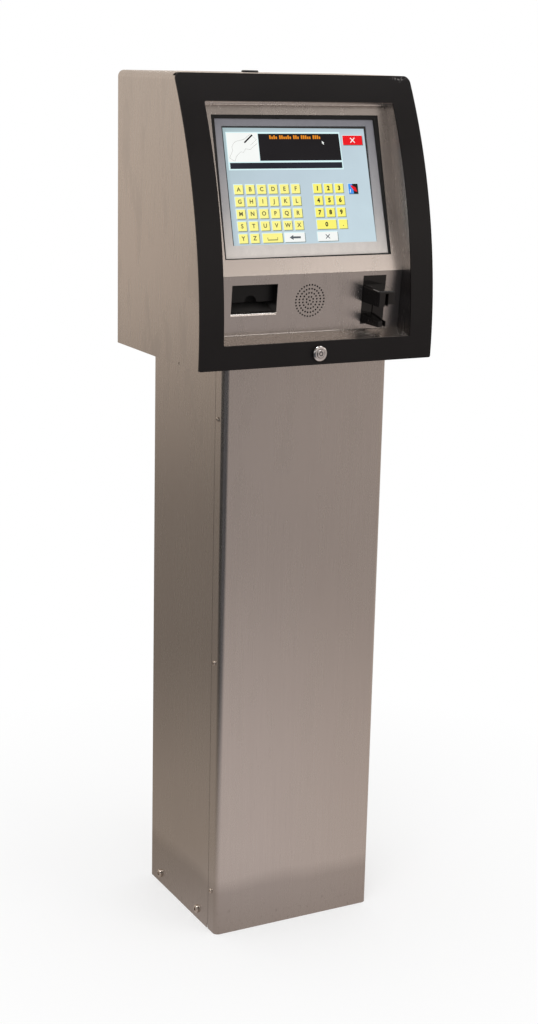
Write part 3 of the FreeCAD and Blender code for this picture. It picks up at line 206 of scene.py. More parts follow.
def dirty_foot(m, cloud, strength):
    """Grime at the foot of the pedestal, with an uneven upper edge and specks."""
    edge = m.math("ADD", m.axis("Z"), m.span(cloud, 0.3, 0.7, -0.008, 0.008))
    m.cover(m.span(edge, 0.096, 0.070, 0.0, strength), (0.27, 0.24, 0.22))
    specks = m.ramp(m.noise((160, 160, 120), 3.0, 0.7), [(0.60, 0.0), (0.70, 0.5)])
    m.cover(m.math("MULTIPLY", specks, m.span(m.axis("Z"), 0.07, 0.0)), (0.16, 0.14, 0.12))


def recess_painted_shade_and_highlight(m):
    """Painted shade on the side walls below the screen, and a painted highlight on the tray's lip.
    """
    # Painted shade: the side walls below the bend are darkened in place of their dark reflection.
    wall = m.span(m.math("ABSOLUTE", m.axis("X")), *SHADED_RECESS_WALL)
    below = m.span(m.axis("Z"), 1.075, 1.062, 0.0, 0.75)
    m.cover(m.math("MULTIPLY", wall, below), (0.05, 0.048, 0.052))
    # Painted highlight: a pale strip along the lip under the ticket tray.
    lip_x, lip_z = TRAY_LIP_HIGHLIGHT
    beside = m.math("ABSOLUTE", m.math("SUBTRACT", m.axis("X"), lip_x))
    over = m.math("ABSOLUTE", m.math("SUBTRACT", m.axis("Z"), lip_z))
    lip = m.math("MULTIPLY", m.span(beside, 0.0386, 0.0382), m.span(over, 0.0024, 0.0020))
    m.cover(lip, (0.95, 0.90, 0.86))


def steel(name, color=(0.50, 0.455, 0.42), rough=0.29, grain=0.45, foot_dirt=0.0, recess=False):
    """Stainless sheet brushed upwards: fine grain, faint clouds, smears and a few scratches."""
    m = Mat(name, color, rough, 1.0, Anisotropic=grain)
    tangent = m.node("Tangent", direction_type="RADIAL", axis="Z")
    m.join(tangent.outputs["Tangent"], m.shader.inputs["Tangent"])
    fine = m.noise((1300, 1300, 14), 2.0)
    broad = m.noise((210, 210, 5), 2.0)
    cloud = m.noise((6, 6, 3.5), 3.0, 0.6)
    smear = m.noise((24, 24, 8), 4.0, 0.65)
    m.tint(fine, 0.040)
    m.tint(broad, 0.030)
    m.tint(cloud, 0.045)
    m.roughen(fine, 0.04)
    m.roughen(cloud, 0.04)
    m.roughen(m.ramp(smear, [(0.52, 0.0), (0.72, 1.0)]), 0.03)
    scratch = m.noise((900, 900, 22), 1.0)
    m.tint(m.ramp(scratch, [(0.27, 0.0), (0.31, 1.0)]), 0.03)
    if foot_dirt:
        dirty_foot(m, cloud, foot_dirt)
    # The recess steel gets painted shade on its lower side walls and a painted highlight on the tray
    # lip.
    if recess:
        recess_painted_shade_and_highlight(m)
    m.bump(fine, 0.02, 0.00003)
    return m.done()


def black_paint():
    """Satin powder coat: fine texture, dust, and chips where the door rubs at one top corner."""
    m = Mat("black_paint", (0.0052, 0.0042, 0.0044), 0.46, 0.0, Specular_IOR_Level=0.22)
    grain = m.noise((2600, 2600, 2600), 2.0)
    cloud = m.noise((16, 16, 16), 4.0)
    m.tint(cloud, 0.30)
    m.roughen(cloud, 0.06)
    dust = m.ramp(m.noise((520, 520, 520), 1.0), [(0.74, 0.0), (0.79, 0.22)])
    m.cover(dust, (0.07, 0.065, 0.06))
    chip_noise = m.noise((240, 240, 420), 3.0)
    corner_x, corner_z = CHIPPED_CORNER
    near_x = m.math("SUBTRACT", m.axis("X"), corner_x)
    near_z = m.math("SUBTRACT", m.axis("Z"), corner_z)
    aside = m.math("ABSOLUTE", m.math("MULTIPLY", near_x, 0.35))
    far = m.math("ADD", aside, m.math("ABSOLUTE", near_z))
    corner = m.ramp(m.math("MULTIPLY", far, 100.0), [(0.25, 1.0), (0.62, 0.0)])
    chips = m.math("MULTIPLY", m.ramp(chip_noise, [(0.50, 0.0), (0.56, 1.0)]), corner)
    m.cover(chips, (0.16, 0.15, 0.145))
    m.bump(grain, 0.08, 0.00006)
    return m.done()


def moulded(name, color, rough, spread=0.15, pitch=1500, **sockets):
    """Moulded plastic or rubber: a fine sandy skin, soft tone changes and rub marks."""
    m = Mat(name, color, rough, 0.0, **sockets)
    skin = m.noise((pitch, pitch, pitch), 2.0)
    cloud = m.noise((45, 45, 45), 4.0)
    m.tint(cloud, spread)
    m.roughen(cloud, 0.05)
    rub = m.ramp(m.noise((160, 160, 60), 3.0), [(0.60, 0.0), (0.75, 1.0)])
    m.roughen(rub, 0.04)
    m.bump(skin, 0.10, 0.00005)
    return m.done()


def tray_black():
    """Black plastic pocket, painted lighter grey low down as light falling on its floor."""
    m = Mat("tray_black_plastic", (0.0035, 0.0032, 0.0032), 0.40, 0.0, Specular_IOR_Level=0.3)
    cloud = m.noise((45, 45, 45), 4.0)
    # Painted light: lighter grey below this height, where light falls on the pocket's floor.
    m.cover(m.span(m.axis("Z"), 1.0225, 1.0180), (0.045, 0.042, 0.040))
    m.tint(cloud, 0.2)
    m.roughen(cloud, 0.06)
    m.bump(m.noise((1500, 1500, 1500), 2.0), 0.10, 0.00005)
    return m.done()


def plated(name, color, rough, spread=0.06, pitch=900):
    """Plated or machined metal: fine mottling and tone changes."""
    m = Mat(name, color, rough, 1.0)
    spangle = m.noise((pitch * 0.2, pitch * 0.2, pitch * 0.2), 3.0)
    fine = m.noise((pitch, pitch, pitch), 2.0)
    m.tint(spangle, spread)
    m.tint(fine, spread * 0.5)
    m.roughen(spangle, 0.07)
    m.bump(fine, 0.04, 0.00004)
    return m.done()


def silver_frame():
    """Lilac grey rim of painted metal round the display, with painted light at its foot and painted
    shade at its top.
    """
    m = Mat("silver_frame", (0.30, 0.29, 0.31), 0.55, 0.35)
    # Painted light and shade: pale near the foot of the rim, dark towards its top under the recess's
    # top.
    height = m.span(m.axis("Z"), 1.095, 1.285)
    m.color_out = m.ramp(height, [
        (0.0, (0.66, 0.62, 0.585)), (0.35, (0.42, 0.41, 0.42)), (1.0, (0.225, 0.225, 0.252))])
    speck = m.noise((900, 900, 900), 3.0, 0.7)
    m.tint(speck, 0.20)
    m.tint(m.noise((90, 90, 60), 4.0), 0.10)
    m.roughen(speck, 0.08)
    m.bump(speck, 0.06, 0.00005)
    return m.done()


THREE_ROWS = 0.0009
UNLIT_SHARE = 0.06


def dot_rows(m):
    """The display's pixel rows, three to a wave, as a slight change of brightness."""
    rows = m.math("SINE", m.math("MULTIPLY", m.axis("Z"), 2 * math.pi / THREE_ROWS))
    return m.span(rows, -1.0, 1.0, 0.975, 1.0)


def lit(name, color, spread=0.03):
    """A lit area of the display: pixel rows and a slow change of tone."""
    m = Mat(name, tuple(c * UNLIT_SHARE for c in color), 0.34, 0.0, Specular_IOR_Level=0.13)
    glow = m.span(m.noise((14, 14, 14), 3.0), 0.25, 0.75, 1 - spread, 1 + spread)
    tone = m.grey(m.math("MULTIPLY", glow, dot_rows(m)))
    m.shine(m.mix(1.0, color, tone, "MULTIPLY"))
    return m.done()


def screen_ground():
    """The picture's background: blue grey, a little paler towards its lower right corner."""
    m = Mat("screen_ground", (0.02, 0.025, 0.03), 0.34, 0.0, Specular_IOR_Level=0.13)
    across = m.span(m.axis("X"), -0.16, 0.13)
    down = m.span(m.axis("Z"), 1.29, 1.09)
    both = m.math("MULTIPLY", m.math("ADD", across, down), 0.5)
    tone = m.ramp(both, [
        (0.0, (0.40, 0.52, 0.54)), (0.40, (0.48, 0.585, 0.65)), (1.0, (0.56, 0.69, 0.75))])
    from_left = m.span(m.axis("X"), -0.1235, -0.1165, 0.55, 1.0)
    from_top = m.span(m.axis("Z"), 1.2790, 1.2700, 0.55, 1.0)
    edge = m.mix(m.math("MULTIPLY", from_left, from_top), (0.62, 0.70, 0.68), (1.0, 1.0, 1.0))
    tone = m.mix(1.0, tone, edge, "MULTIPLY")
    cloud = m.span(m.noise((20, 20, 20), 3.0), 0.3, 0.7, 0.97, 1.03)
    m.shine(m.mix(1.0, tone, m.grey(m.math("MULTIPLY", cloud, dot_rows(m))), "MULTIPLY"))
    return m.done()


def circuit_green():
    """Solder mask over copper tracks."""
    m = Mat("circuit_green", (0.012, 0.085, 0.035), 0.32, 0.0, Coat_Weight=0.4, Coat_Roughness=0.15)
    tracks = m.node("TexBrick", offset=0.37, offset_frequency=3)
    tracks.inputs["Scale"].default_value = 150.0
    tracks.inputs["Mortar Size"].default_value = 0.05
    tracks.inputs["Brick Width"].default_value = 1.7
    tracks.inputs["Row Height"].default_value = 0.22
    turn = m.node("Mapping")
    turn.inputs["Rotation"].default_value = (math.radians(90), 0, 0)
    m.join(m.place, turn.inputs["Vector"])
    m.join(turn.outputs["Vector"], tracks.inputs["Vector"])
    m.cover(m.math("MULTIPLY", tracks.outputs["Fac"], 0.7), (0.03, 0.17, 0.07))
    m.tint(m.noise((60, 60, 60), 3.0), 0.15)
    m.bump(tracks.outputs["Fac"], 0.3, 0.00008)
    return m.done()


STEEL = steel("brushed_steel")
STEEL_PEDESTAL = steel("brushed_steel_pedestal", foot_dirt=0.45)
# Recess steel: painted shade on its lower side walls and a painted highlight on the tray lip.
STEEL_RECESS = steel("brushed_steel_recess", (0.50, 0.462, 0.436), 0.28, grain=0.70, recess=True)
HARDWARE = plated("stainless_hardware", (0.55, 0.49, 0.44), 0.25)
ZINC = plated("zinc_steel", (0.55, 0.55, 0.53), 0.38, 0.10, 500)
PAINT = black_paint()
SATIN_BLACK = moulded("satin_black_plastic", (0.006, 0.006, 0.0065), 0.42)
POCKET_BLACK = tray_black()
GLOSS_BLACK = moulded("gloss_black_plastic", (0.0050, 0.0042, 0.0040), 0.10, 0.2, 700,
                      Specular_IOR_Level=0.35)
GREY_PLASTIC = moulded("grey_plastic", (0.42, 0.42, 0.40), 0.45)
WHITE_PLASTIC = moulded("white_plastic", (0.70, 0.69, 0.65), 0.40, 0.05)
RUBBER = moulded("black_rubber", (0.006, 0.006, 0.006), 0.75, 0.2, 2200)
WIRE_RED = moulded("wire_red", (0.36, 0.02, 0.02), 0.42, 0.10)
WIRE_BLACK = moulded("wire_black", (0.010, 0.010, 0.010), 0.45, 0.10)
WIRE_GREY = moulded("wire_grey", (0.22, 0.22, 0.22), 0.50, 0.10)
WIRE_BLUE = moulded("wire_blue", (0.03, 0.08, 0.30), 0.45, 0.10)
SILVER = silver_frame()
CHROME = plated("chrome", (0.66, 0.64, 0.63), 0.12, 0.04, 1600)
ALUMINIUM = plated("aluminium_case", (0.60, 0.60, 0.61), 0.35)
COPPER = plated("copper_winding", (0.60, 0.26, 0.10), 0.30, 0.12, 1500)
PAPER = moulded("thermal_paper", (0.78, 0.78, 0.74), 0.75, 0.05, 3000)
CIRCUIT = circuit_green()
GROUND = screen_ground()
LCD_WHITE = lit("lcd_white", (0.87, 0.89, 0.87))
LCD_BLACK = lit("lcd_black", (0.010, 0.009, 0.011), spread=0.2)
LCD_STRIP = lit("lcd_dark_strip", (0.016, 0.018, 0.028), spread=0.25)
LCD_PALE = lit("lcd_pale_edge", (0.66, 0.87, 0.89))
LCD_SHADOW = lit("lcd_key_shadow", (0.10, 0.15, 0.14))
LCD_KEY = lit("lcd_key_yellow", (0.93, 0.87, 0.26))
LCD_NUMBER = lit("lcd_number_yellow", (0.93, 0.86, 0.17))
LCD_LETTER = lit("lcd_letter", (0.10, 0.09, 0.04))
LCD_DIGIT = lit("lcd_digit", (0.025, 0.022, 0.012))
LCD_GREY = lit("lcd_grey_line", (0.34, 0.34, 0.31))
LCD_SLATE = lit("lcd_slate", (0.10, 0.115, 0.13))
LCD_ORANGE = lit("lcd_orange", (0.80, 0.26, 0.012))
LCD_RED = lit("lcd_red", (0.80, 0.006, 0.012))
LCD_BLUE = lit("lcd_blue", (0.06, 0.28, 0.78))
LCD_MASK = moulded("lcd_mask_black", (0.008, 0.008, 0.009), 0.35)

CAD_LOOK = {
    "pedestal_shell": STEEL_PEDESTAL, "pedestal_front_cover": STEEL_PEDESTAL, "head_shell": STEEL,
    "recess_panel": STEEL_RECESS, "door_frame": PAINT,
    "base_side_screws": HARDWARE, "cover_screws": HARDWARE, "back_panel_screws": HARDWARE,
    "hinge_fixed_leaf": HARDWARE, "hinge_door_leaf": HARDWARE, "hinge_pin": HARDWARE,
    "strut_rod_left": CHROME, "strut_rod_right": CHROME,
    "strut_cylinder_left": PAINT, "strut_cylinder_right": PAINT,
    "base_bracket": ZINC, "cover_nuts": ZINC, "pedestal_top_plate": ZINC, "head_bolts": ZINC,
    "head_nuts": ZINC, "din_rail": ZINC, "head_floor": ZINC, "head_front_jamb": ZINC,
    "screen_brackets": ZINC, "screen_nuts": ZINC, "screen_chassis": ALUMINIUM, "lock_nut": ZINC,
    "lock_cam": ZINC, "cam_screw": ZINC, "strut_head_brackets": ZINC, "strut_door_brackets": ZINC,
    "controller_standoffs": ZINC, "printer_stand": ZINC, "printer_pins": ZINC,
    "power_supply": ALUMINIUM, "back_panel": STEEL, "controller_box": ALUMINIUM,
    "card_reader_bezel": GLOSS_BLACK, "card_reader_body": SATIN_BLACK, "ticket_chute": POCKET_BLACK,
    "top_plug": SATIN_BLACK, "fan_frame": SATIN_BLACK, "fan_impeller": SATIN_BLACK,
    "printer_body": SATIN_BLACK, "breaker_toggle": SATIN_BLACK, "cable_clips": SATIN_BLACK,
    "circuit_breaker": GREY_PLASTIC, "terminal_blocks": GREY_PLASTIC, "printer_lid": GREY_PLASTIC,
    "cable_bush": RUBBER, "door_seal": RUBBER, "screen_gasket": RUBBER, "platen_roller": RUBBER,
    "power_cable": RUBBER, "screen_frame": SILVER, "screen_glass": GROUND, "speaker": POCKET_BLACK,
    "lock_barrel": CHROME, "lock_plug": CHROME, "paper_roll": PAPER,
}

for name, obj in NODES.items():
    obj.data.materials.clear()
    obj.data.materials.append(CAD_LOOK[name])


# ---- pieces that Blender adds ---------------------------------------------------------

class Shape:
    """Closed solids gathered into one mesh, in the millimetres of the face they sit on."""

    def __init__(self):
        self.bm = bmesh.new()

    def prism(self, outline, y0, y1):
        """An outline of (x, z) points, thick from y0 to y1."""
        near = [self.bm.verts.new((x, y0, z)) for x, z in outline]
        far = [self.bm.verts.new((x, y1, z)) for x, z in outline]
        self.bm.faces.new(near)
        self.bm.faces.new(far[::-1])
        for i in range(len(near)):
            j = (i + 1) % len(near)
            self.bm.faces.new((near[j], near[i], far[i], far[j]))

    def block(self, x0, x1, y0, y1, z0, z1, round_by=0.0):
        """A box, with its edges rounded when round_by is given."""
        made = bmesh.ops.create_cube(self.bm, size=1.0)["verts"]
        bmesh.ops.scale(self.bm, verts=made, vec=(x1 - x0, y1 - y0, z1 - z0))
        bmesh.ops.translate(self.bm, verts=made, vec=((x0 + x1) / 2, (y0 + y1) / 2, (z0 + z1) / 2))
        if round_by:
            edges = list({e for v in made for e in v.link_edges})
            self.soften(edges, round_by, 3)

    def rod(self, start, end, radius, sides=24, round_by=0.0):
        """A round bar, with its rims rounded when round_by is given."""
        start, end = Vector(start), Vector(end)
        way = end - start
        made = bmesh.ops.create_cone(self.bm, cap_ends=True, segments=sides, radius1=radius,
                                     radius2=radius, depth=way.length)["verts"]
        turn = way.to_track_quat("Z", "Y").to_matrix().to_4x4()
        place = Matrix.Translation((start + end) / 2) @ turn
        bmesh.ops.transform(self.bm, verts=made, matrix=place)
        if round_by:
            edges = {e for v in made for e in v.link_edges}
            rims = [e for e in edges if any(len(f.verts) > 4 for f in e.link_faces)]
            self.soften(rims, round_by, 2)

    def soften(self, edges, by, steps):
        bmesh.ops.bevel(self.bm, geom=edges, offset=by, segments=steps, profile=0.5, affect="EDGES")

    def ribbon(self, points, width, y0, y1):
        """A line of even width through (x, z) points, thick from y0 to y1."""
        sides = ([], [])
        for i, (x, z) in enumerate(points):
            x0, z0 = points[max(i - 1, 0)]
            x1, z1 = points[min(i + 1, len(points) - 1)]
            length = math.hypot(x1 - x0, z1 - z0)
            dx, dz = (x1 - x0) / length * width / 2, (z1 - z0) / length * width / 2
            sides[0].append((x + dz, z - dx))
            sides[1].append((x - dz, z + dx))
        self.prism(sides[0] + sides[1][::-1], y0, y1)


def settle(name, mesh, body, material):
    """A mesh as a named piece that rides on a body."""
    mesh.materials.append(material)
    obj = bpy.data.objects.new(name, mesh)
    bpy.context.scene.collection.objects.link(obj)
    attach(obj, body)


def piece(name, shape, body, material, matrix=IN_ROW, smooth=False):
    """A shape, taken by the matrix from its own millimetres to its place, as a piece."""
    mesh = bpy.data.meshes.new(name)
    bmesh.ops.recalc_face_normals(shape.bm, faces=shape.bm.faces)
    shape.bm.transform(matrix)
    shape.bm.to_mesh(mesh)
    shape.bm.free()
    if smooth:
        for face in mesh.polygons:
            face.use_smooth = len(face.vertices) <= 4
        mesh.set_sharp_from_angle(angle=math.radians(35))
    settle(name, mesh, body, material)


def mesh_of(curve, matrix):
    """The mesh that a curve or text makes, moved into place."""
    source = bpy.data.objects.new("source", curve)
    bpy.context.scene.collection.objects.link(source)
    bpy.context.view_layer.update()
    evaluated = source.evaluated_get(bpy.context.evaluated_depsgraph_get())
    mesh = bpy.data.meshes.new_from_object(evaluated)
    mesh.transform(matrix)
    bpy.data.objects.remove(source)
    return mesh


def wires(name, routes, radius, body, material):
    """Insulated leads, each along a smooth line through its route's points, in metres."""
    curve = bpy.data.curves.new(name, "CURVE")
    curve.dimensions = "3D"
    curve.bevel_depth = radius * MM
    curve.bevel_resolution = 3
    curve.use_fill_caps = True
    for route in routes:
        spline = curve.splines.new("NURBS")
        spline.points.add(len(route) - 1)
        for point, place in zip(spline.points, route):
            point.co = (*place, 1.0)
        spline.order_u = 3
        spline.use_endpoint_u = True
        spline.resolution_u = 6
    mesh = mesh_of(curve, Matrix.Identity(4))
    mesh.name = name
    for face in mesh.polygons:
        face.use_smooth = len(face.vertices) <= 4
    settle(name, mesh, body, material)


def beside(route, dx=0.0, dy=0.0, dz=0.0):
    """The same route a few millimetres to one side."""
    return [Vector(place) + Vector((dx, dy, dz)) * MM for place in route]


def spots(*points, matrix=IN_ROW):
    return [matrix @ Vector(point) for point in points]


# ---- the display's picture ------------------------------------------------------------

# Places on the display are millimetres across from its middle and up from the bend. Its layers
# lie a few hundredths of a millimetre apart, and STEP keeps two that cross from sharing a face.

KEY_HALF_W = 7.3
KEY_HALF_H = 6.9
LETTER_LEFT = -106.7
LETTER_PITCH = 19.22
ROW_TOP = 128.9
ROW_PITCH = 18.25
NUMBER_LEFT = 27.0
NUMBER_PITCH = 18.9
EDGE_NEAR = GLASS_FRONT - 0.030
FACE_NEAR = GLASS_FRONT - 0.055
MARK_NEAR = GLASS_FRONT - 0.080
SCREEN_BACK = GLASS_FRONT + 0.010
STEP = 0.01


def on_glass(name, shape, material):
    piece(name, shape, "front_door", material, ON_SCREEN)


def patches(name, material, near, *outlines):
    """Flat patches of one colour, each inside an outline of (x, z) points."""
    shape = Shape()
    for outline in outlines:
        shape.prism(outline, near, SCREEN_BACK)
    on_glass(name, shape, material)


def lettering(name, marks, size, weight, material):
    """Letters or digits, each (text, x, z), joined into one piece."""
    bm = bmesh.new()
    upright = Matrix.Rotation(math.radians(90), 4, "X")
    for text, x, z in marks:
        curve = bpy.data.curves.new("mark", "FONT")
        curve.body = text
        curve.size = size
        curve.offset = weight
        curve.align_x = "CENTER"
        curve.align_y = "CENTER"
        curve.resolution_u = 3
        curve.extrude = (SCREEN_BACK - MARK_NEAR) / 2
        place = Matrix.Translation((x, (MARK_NEAR + SCREEN_BACK) / 2, z))
        bm.from_mesh(mesh_of(curve, place @ upright))
    mesh = bpy.data.meshes.new(name)
    bmesh.ops.remove_doubles(bm, verts=bm.verts, dist=0.0005)
    bm.transform(ON_SCREEN)
    bm.to_mesh(mesh)
    bm.free()
    settle(name, mesh, "front_door", material)


def rectangle(x0, x1, z0, z1):
    return [(x0, z0), (x1, z0), (x1, z1), (x0, z1)]


def in_rows(marks, per_row, left, pitch):
    """Marks as (mark, x, z), so many to a row, from the top row down."""
    return [(mark, left + pitch * (i % per_row), ROW_TOP - ROW_PITCH * (i // per_row))
            for i, mark in enumerate(marks)]


def key_places():
    """Letter keys: six in a row, and the last two in a row of their own."""
    return in_rows("ABCDEFGHIJKLMNOPQRSTUVWXYZ", 6, LETTER_LEFT, LETTER_PITCH)


def number_places():
    return in_rows("123456789", 3, NUMBER_LEFT, NUMBER_PITCH)


def key_box(x, z):
    return (x - KEY_HALF_W, x + KEY_HALF_W, z - KEY_HALF_H, z + KEY_HALF_H)


def draw_keys():
    """Letter, number and white keys, each with a light edge and a shadow, and their marks."""
    foot = ROW_TOP - 4 * ROW_PITCH
    zero_row = ROW_TOP - 3 * ROW_PITCH
    letter_keys = [key_box(x, z) for _, x, z in key_places()]
    letter_keys.append((-74.4, -40.9, foot - KEY_HALF_H, foot + KEY_HALF_H))
    number_keys = [key_box(x, z) for _, x, z in number_places()]
    number_keys.append((20.2, 54.0, zero_row - KEY_HALF_H, zero_row + KEY_HALF_H))
    number_keys.append(key_box(65.8, zero_row))
    white_keys = [(-37.2, -2.6, foot - KEY_HALF_H, foot + KEY_HALF_H)]
    white_keys.append((19.5, 54.3, foot - KEY_HALF_H, foot + KEY_HALF_H))
    pale, dark = [], []
    for name, keys, material in (("letter_keys", letter_keys, LCD_KEY),
                                 ("number_keys", number_keys, LCD_NUMBER),
                                 ("white_keys", white_keys, LCD_WHITE)):
        patches(name, material, FACE_NEAR, *[rectangle(*key) for key in keys])
        for x0, x1, z0, z1 in keys:
            pale.append(rectangle(x0 - 1.1, x1 - 0.5, z0 + 0.5, z1 + 1.1))
            dark.append(rectangle(x0 + 0.7, x1 + 0.9, z0 - 0.9, z1 - 0.7))
    patches("key_light_edges", LCD_PALE, EDGE_NEAR, *pale)
    patches("key_shadows", LCD_SHADOW, EDGE_NEAR - STEP, *dark)
    lettering("key_letters", key_places(), 8.8, 0.22, LCD_LETTER)
    marks = number_places() + [("0", 37.1, zero_row)]
    lettering("key_digits", marks, 9.2, 0.42, LCD_DIGIT)
    signs = Shape()
    signs.prism(rectangle(65.2, 66.6, zero_row - 2.9, zero_row - 1.7), MARK_NEAR, SCREEN_BACK)
    open_box = [(-66.0, foot + 0.6), (-66.0, foot - 3.0), (-49.5, foot - 3.0), (-49.5, foot + 0.6)]
    signs.ribbon(open_box, 1.3, MARK_NEAR, SCREEN_BACK)
    on_glass("key_signs", signs, LCD_LETTER)
    arrow = Shape()
    head, tail, mid = -29.0, -10.0, foot - 0.1
    outline = [(head, mid), (head + 6.4, mid - 3.8), (head + 6.4, mid - 1.5), (tail, mid - 1.5)]
    outline += [(x, 2 * mid - z) for x, z in outline[:0:-1]]
    arrow.prism(outline, MARK_NEAR, SCREEN_BACK)
    arrow.ribbon([(33.4, foot - 3.2), (40.4, foot + 3.2)], 1.3, MARK_NEAR, SCREEN_BACK)
    arrow.ribbon([(33.4, foot + 3.2), (40.4, foot - 3.2)], 1.3, MARK_NEAR - STEP, SCREEN_BACK)
    on_glass("arrow_and_cross", arrow, LCD_SLATE)


def draw_message():
    """Message panel: a card in a hand, a dark box with a greeked line, and a strip below."""
    rim = [(-119.3, 157.6), (76.4, 157.6), (74.6, 214.6), (-119.3, 214.6)]
    box = [(-65.6, 171.4), (74.3, 171.4), (72.9, 211.9), (-65.6, 211.9)]
    patches("message_border", LCD_PALE, EDGE_NEAR, rim)
    patches("message_box", LCD_BLACK, FACE_NEAR, box)
    patches("message_strip", LCD_STRIP, FACE_NEAR, rectangle(-116.6, 74.4, 159.6, 168.6))
    patches("card_picture", LCD_WHITE, FACE_NEAR, rectangle(-118.4, -66.4, 169.9, 213.4))
    lines = Shape()
    hand = [(-116.4, 176.4), (-113.0, 181.5), (-109.9, 187.5), (-110.8, 192.5), (-107.5, 197.6),
            (-102.8, 200.8), (-96.5, 202.0), (-89.4, 203.6)]
    thumb = [(-107.6, 171.2), (-105.2, 177.5), (-100.6, 182.0), (-96.0, 185.2), (-92.4, 183.9),
             (-88.6, 189.3), (-80.4, 188.4), (-73.6, 193.6), (-68.2, 197.4)]
    cuff = [(-116.4, 176.4), (-112.0, 173.0), (-107.6, 171.2)]
    card = [(-89.4, 203.6), (-78.6, 211.0), (-68.6, 203.4), (-79.6, 194.6)]
    for line in (hand, thumb, cuff, card):
        lines.ribbon(line, 0.42, MARK_NEAR, SCREEN_BACK)
    on_glass("card_outline", lines, LCD_GREY)
    stripe = [(-90.3, 199.3), (-88.5, 197.7), (-74.3, 209.4), (-76.1, 211.0)]
    patches("card_stripe", LCD_BLACK, MARK_NEAR - STEP, stripe)
    draw = random.Random(7)
    words = []
    x = -46.7
    for letters in (4, 6, 3, 5, 4):
        for i in range(letters):
            high = 209.6 if i == 0 else 207.6 + 1.8 * (draw.random() < 0.25)
            words.append(rectangle(x, x + 2.5, 204.0, high))
            x += 3.5
        x += 2.8
    patches("message_line", LCD_ORANGE, MARK_NEAR, *words)
    pointer = [(42.6, 201.0), (46.9, 198.2), (45.4, 197.9), (46.2, 195.8), (45.0, 195.4),
               (44.2, 197.4), (43.0, 196.6)]
    patches("pointer", LCD_WHITE, MARK_NEAR, pointer)


def draw_stop_button_and_icon():
    """The red stop button with a white cross, and the small picture beside the numbers."""
    patches("button_shadows", LCD_SHADOW, EDGE_NEAR,
            rectangle(80.2, 114.8, 193.9, 208.0), rectangle(82.0, 98.3, 119.2, 134.4))
    patches("button_edges", LCD_PALE, EDGE_NEAR - 0.8 * STEP,
            rectangle(78.6, 113.2, 195.2, 210.0), rectangle(80.4, 96.8, 120.6, 136.2))
    patches("stop_button", LCD_RED, FACE_NEAR, rectangle(79.4, 113.8, 194.8, 209.2))
    cross = Shape()
    cross.ribbon([(92.8, 198.4), (100.4, 205.6)], 1.5, MARK_NEAR, SCREEN_BACK)
    cross.ribbon([(92.8, 205.6), (100.4, 198.4)], 1.5, MARK_NEAR - STEP, SCREEN_BACK)
    on_glass("stop_cross", cross, LCD_WHITE)
    blue = [(81.2, 120.2), (90.4, 120.2), (88.0, 135.4), (81.2, 135.4)]
    black = [(90.4, 120.2), (97.4, 120.2), (97.4, 135.4), (88.0, 135.4)]
    leaf = [(84.8, 134.0), (94.2, 129.6), (96.2, 122.6), (91.2, 124.4), (86.8, 129.6)]
    spark = [(83.0, 122.0), (84.4, 122.0), (85.2, 126.8), (84.0, 127.2)]
    patches("icon_blue", LCD_BLUE, FACE_NEAR, blue)
    patches("icon_black", LCD_BLACK, FACE_NEAR, black)
    patches("icon_pointer", LCD_RED, MARK_NEAR, leaf)
    patches("icon_spark", LCD_WHITE, MARK_NEAR, spark)


def draw_margin_and_shadow():
    """The unlit black margin of the display inside its rim, widened by painted shadow into a wedge,
    widest at the top.
    """
    # Painted shadow: the margin widens towards the top and upper right, where the recess's top
    # shades the display.
    x0, x1, z0, z1 = -125.35, 121.85, 45.75, 223.15
    outer = [(x0, z0), (x1, z0), (x1, z1), (x0, z1)]
    inner = [(-123.6, z0 + 0.02), (x1 - 0.02, z0 + 0.02), (118.4, 219.6), (-123.4, 220.9)]
    left = [outer[0], inner[0], inner[3], outer[3]]
    top = [outer[3], inner[3], inner[2], outer[2]]
    right = [outer[2], inner[2], inner[1], outer[1]]
    patches("screen_margin_and_shadow", LCD_MASK, EDGE_NEAR, left, top, right)


# ---- inside the door ------------------------------------------------------------------

BOARD_Y = 39.0
BOARD_TOP = BOARD_Y + 1.6
LAMP_BOARD_Y = 33.0
LAMP_BOARD_TOP = LAMP_BOARD_Y + 1.6


def chip(shape, x, z, half_w, half_h, tall, base):
    shape.block(x - half_w, x + half_w, base, base + tall, z - half_h, z + half_h, 0.3)


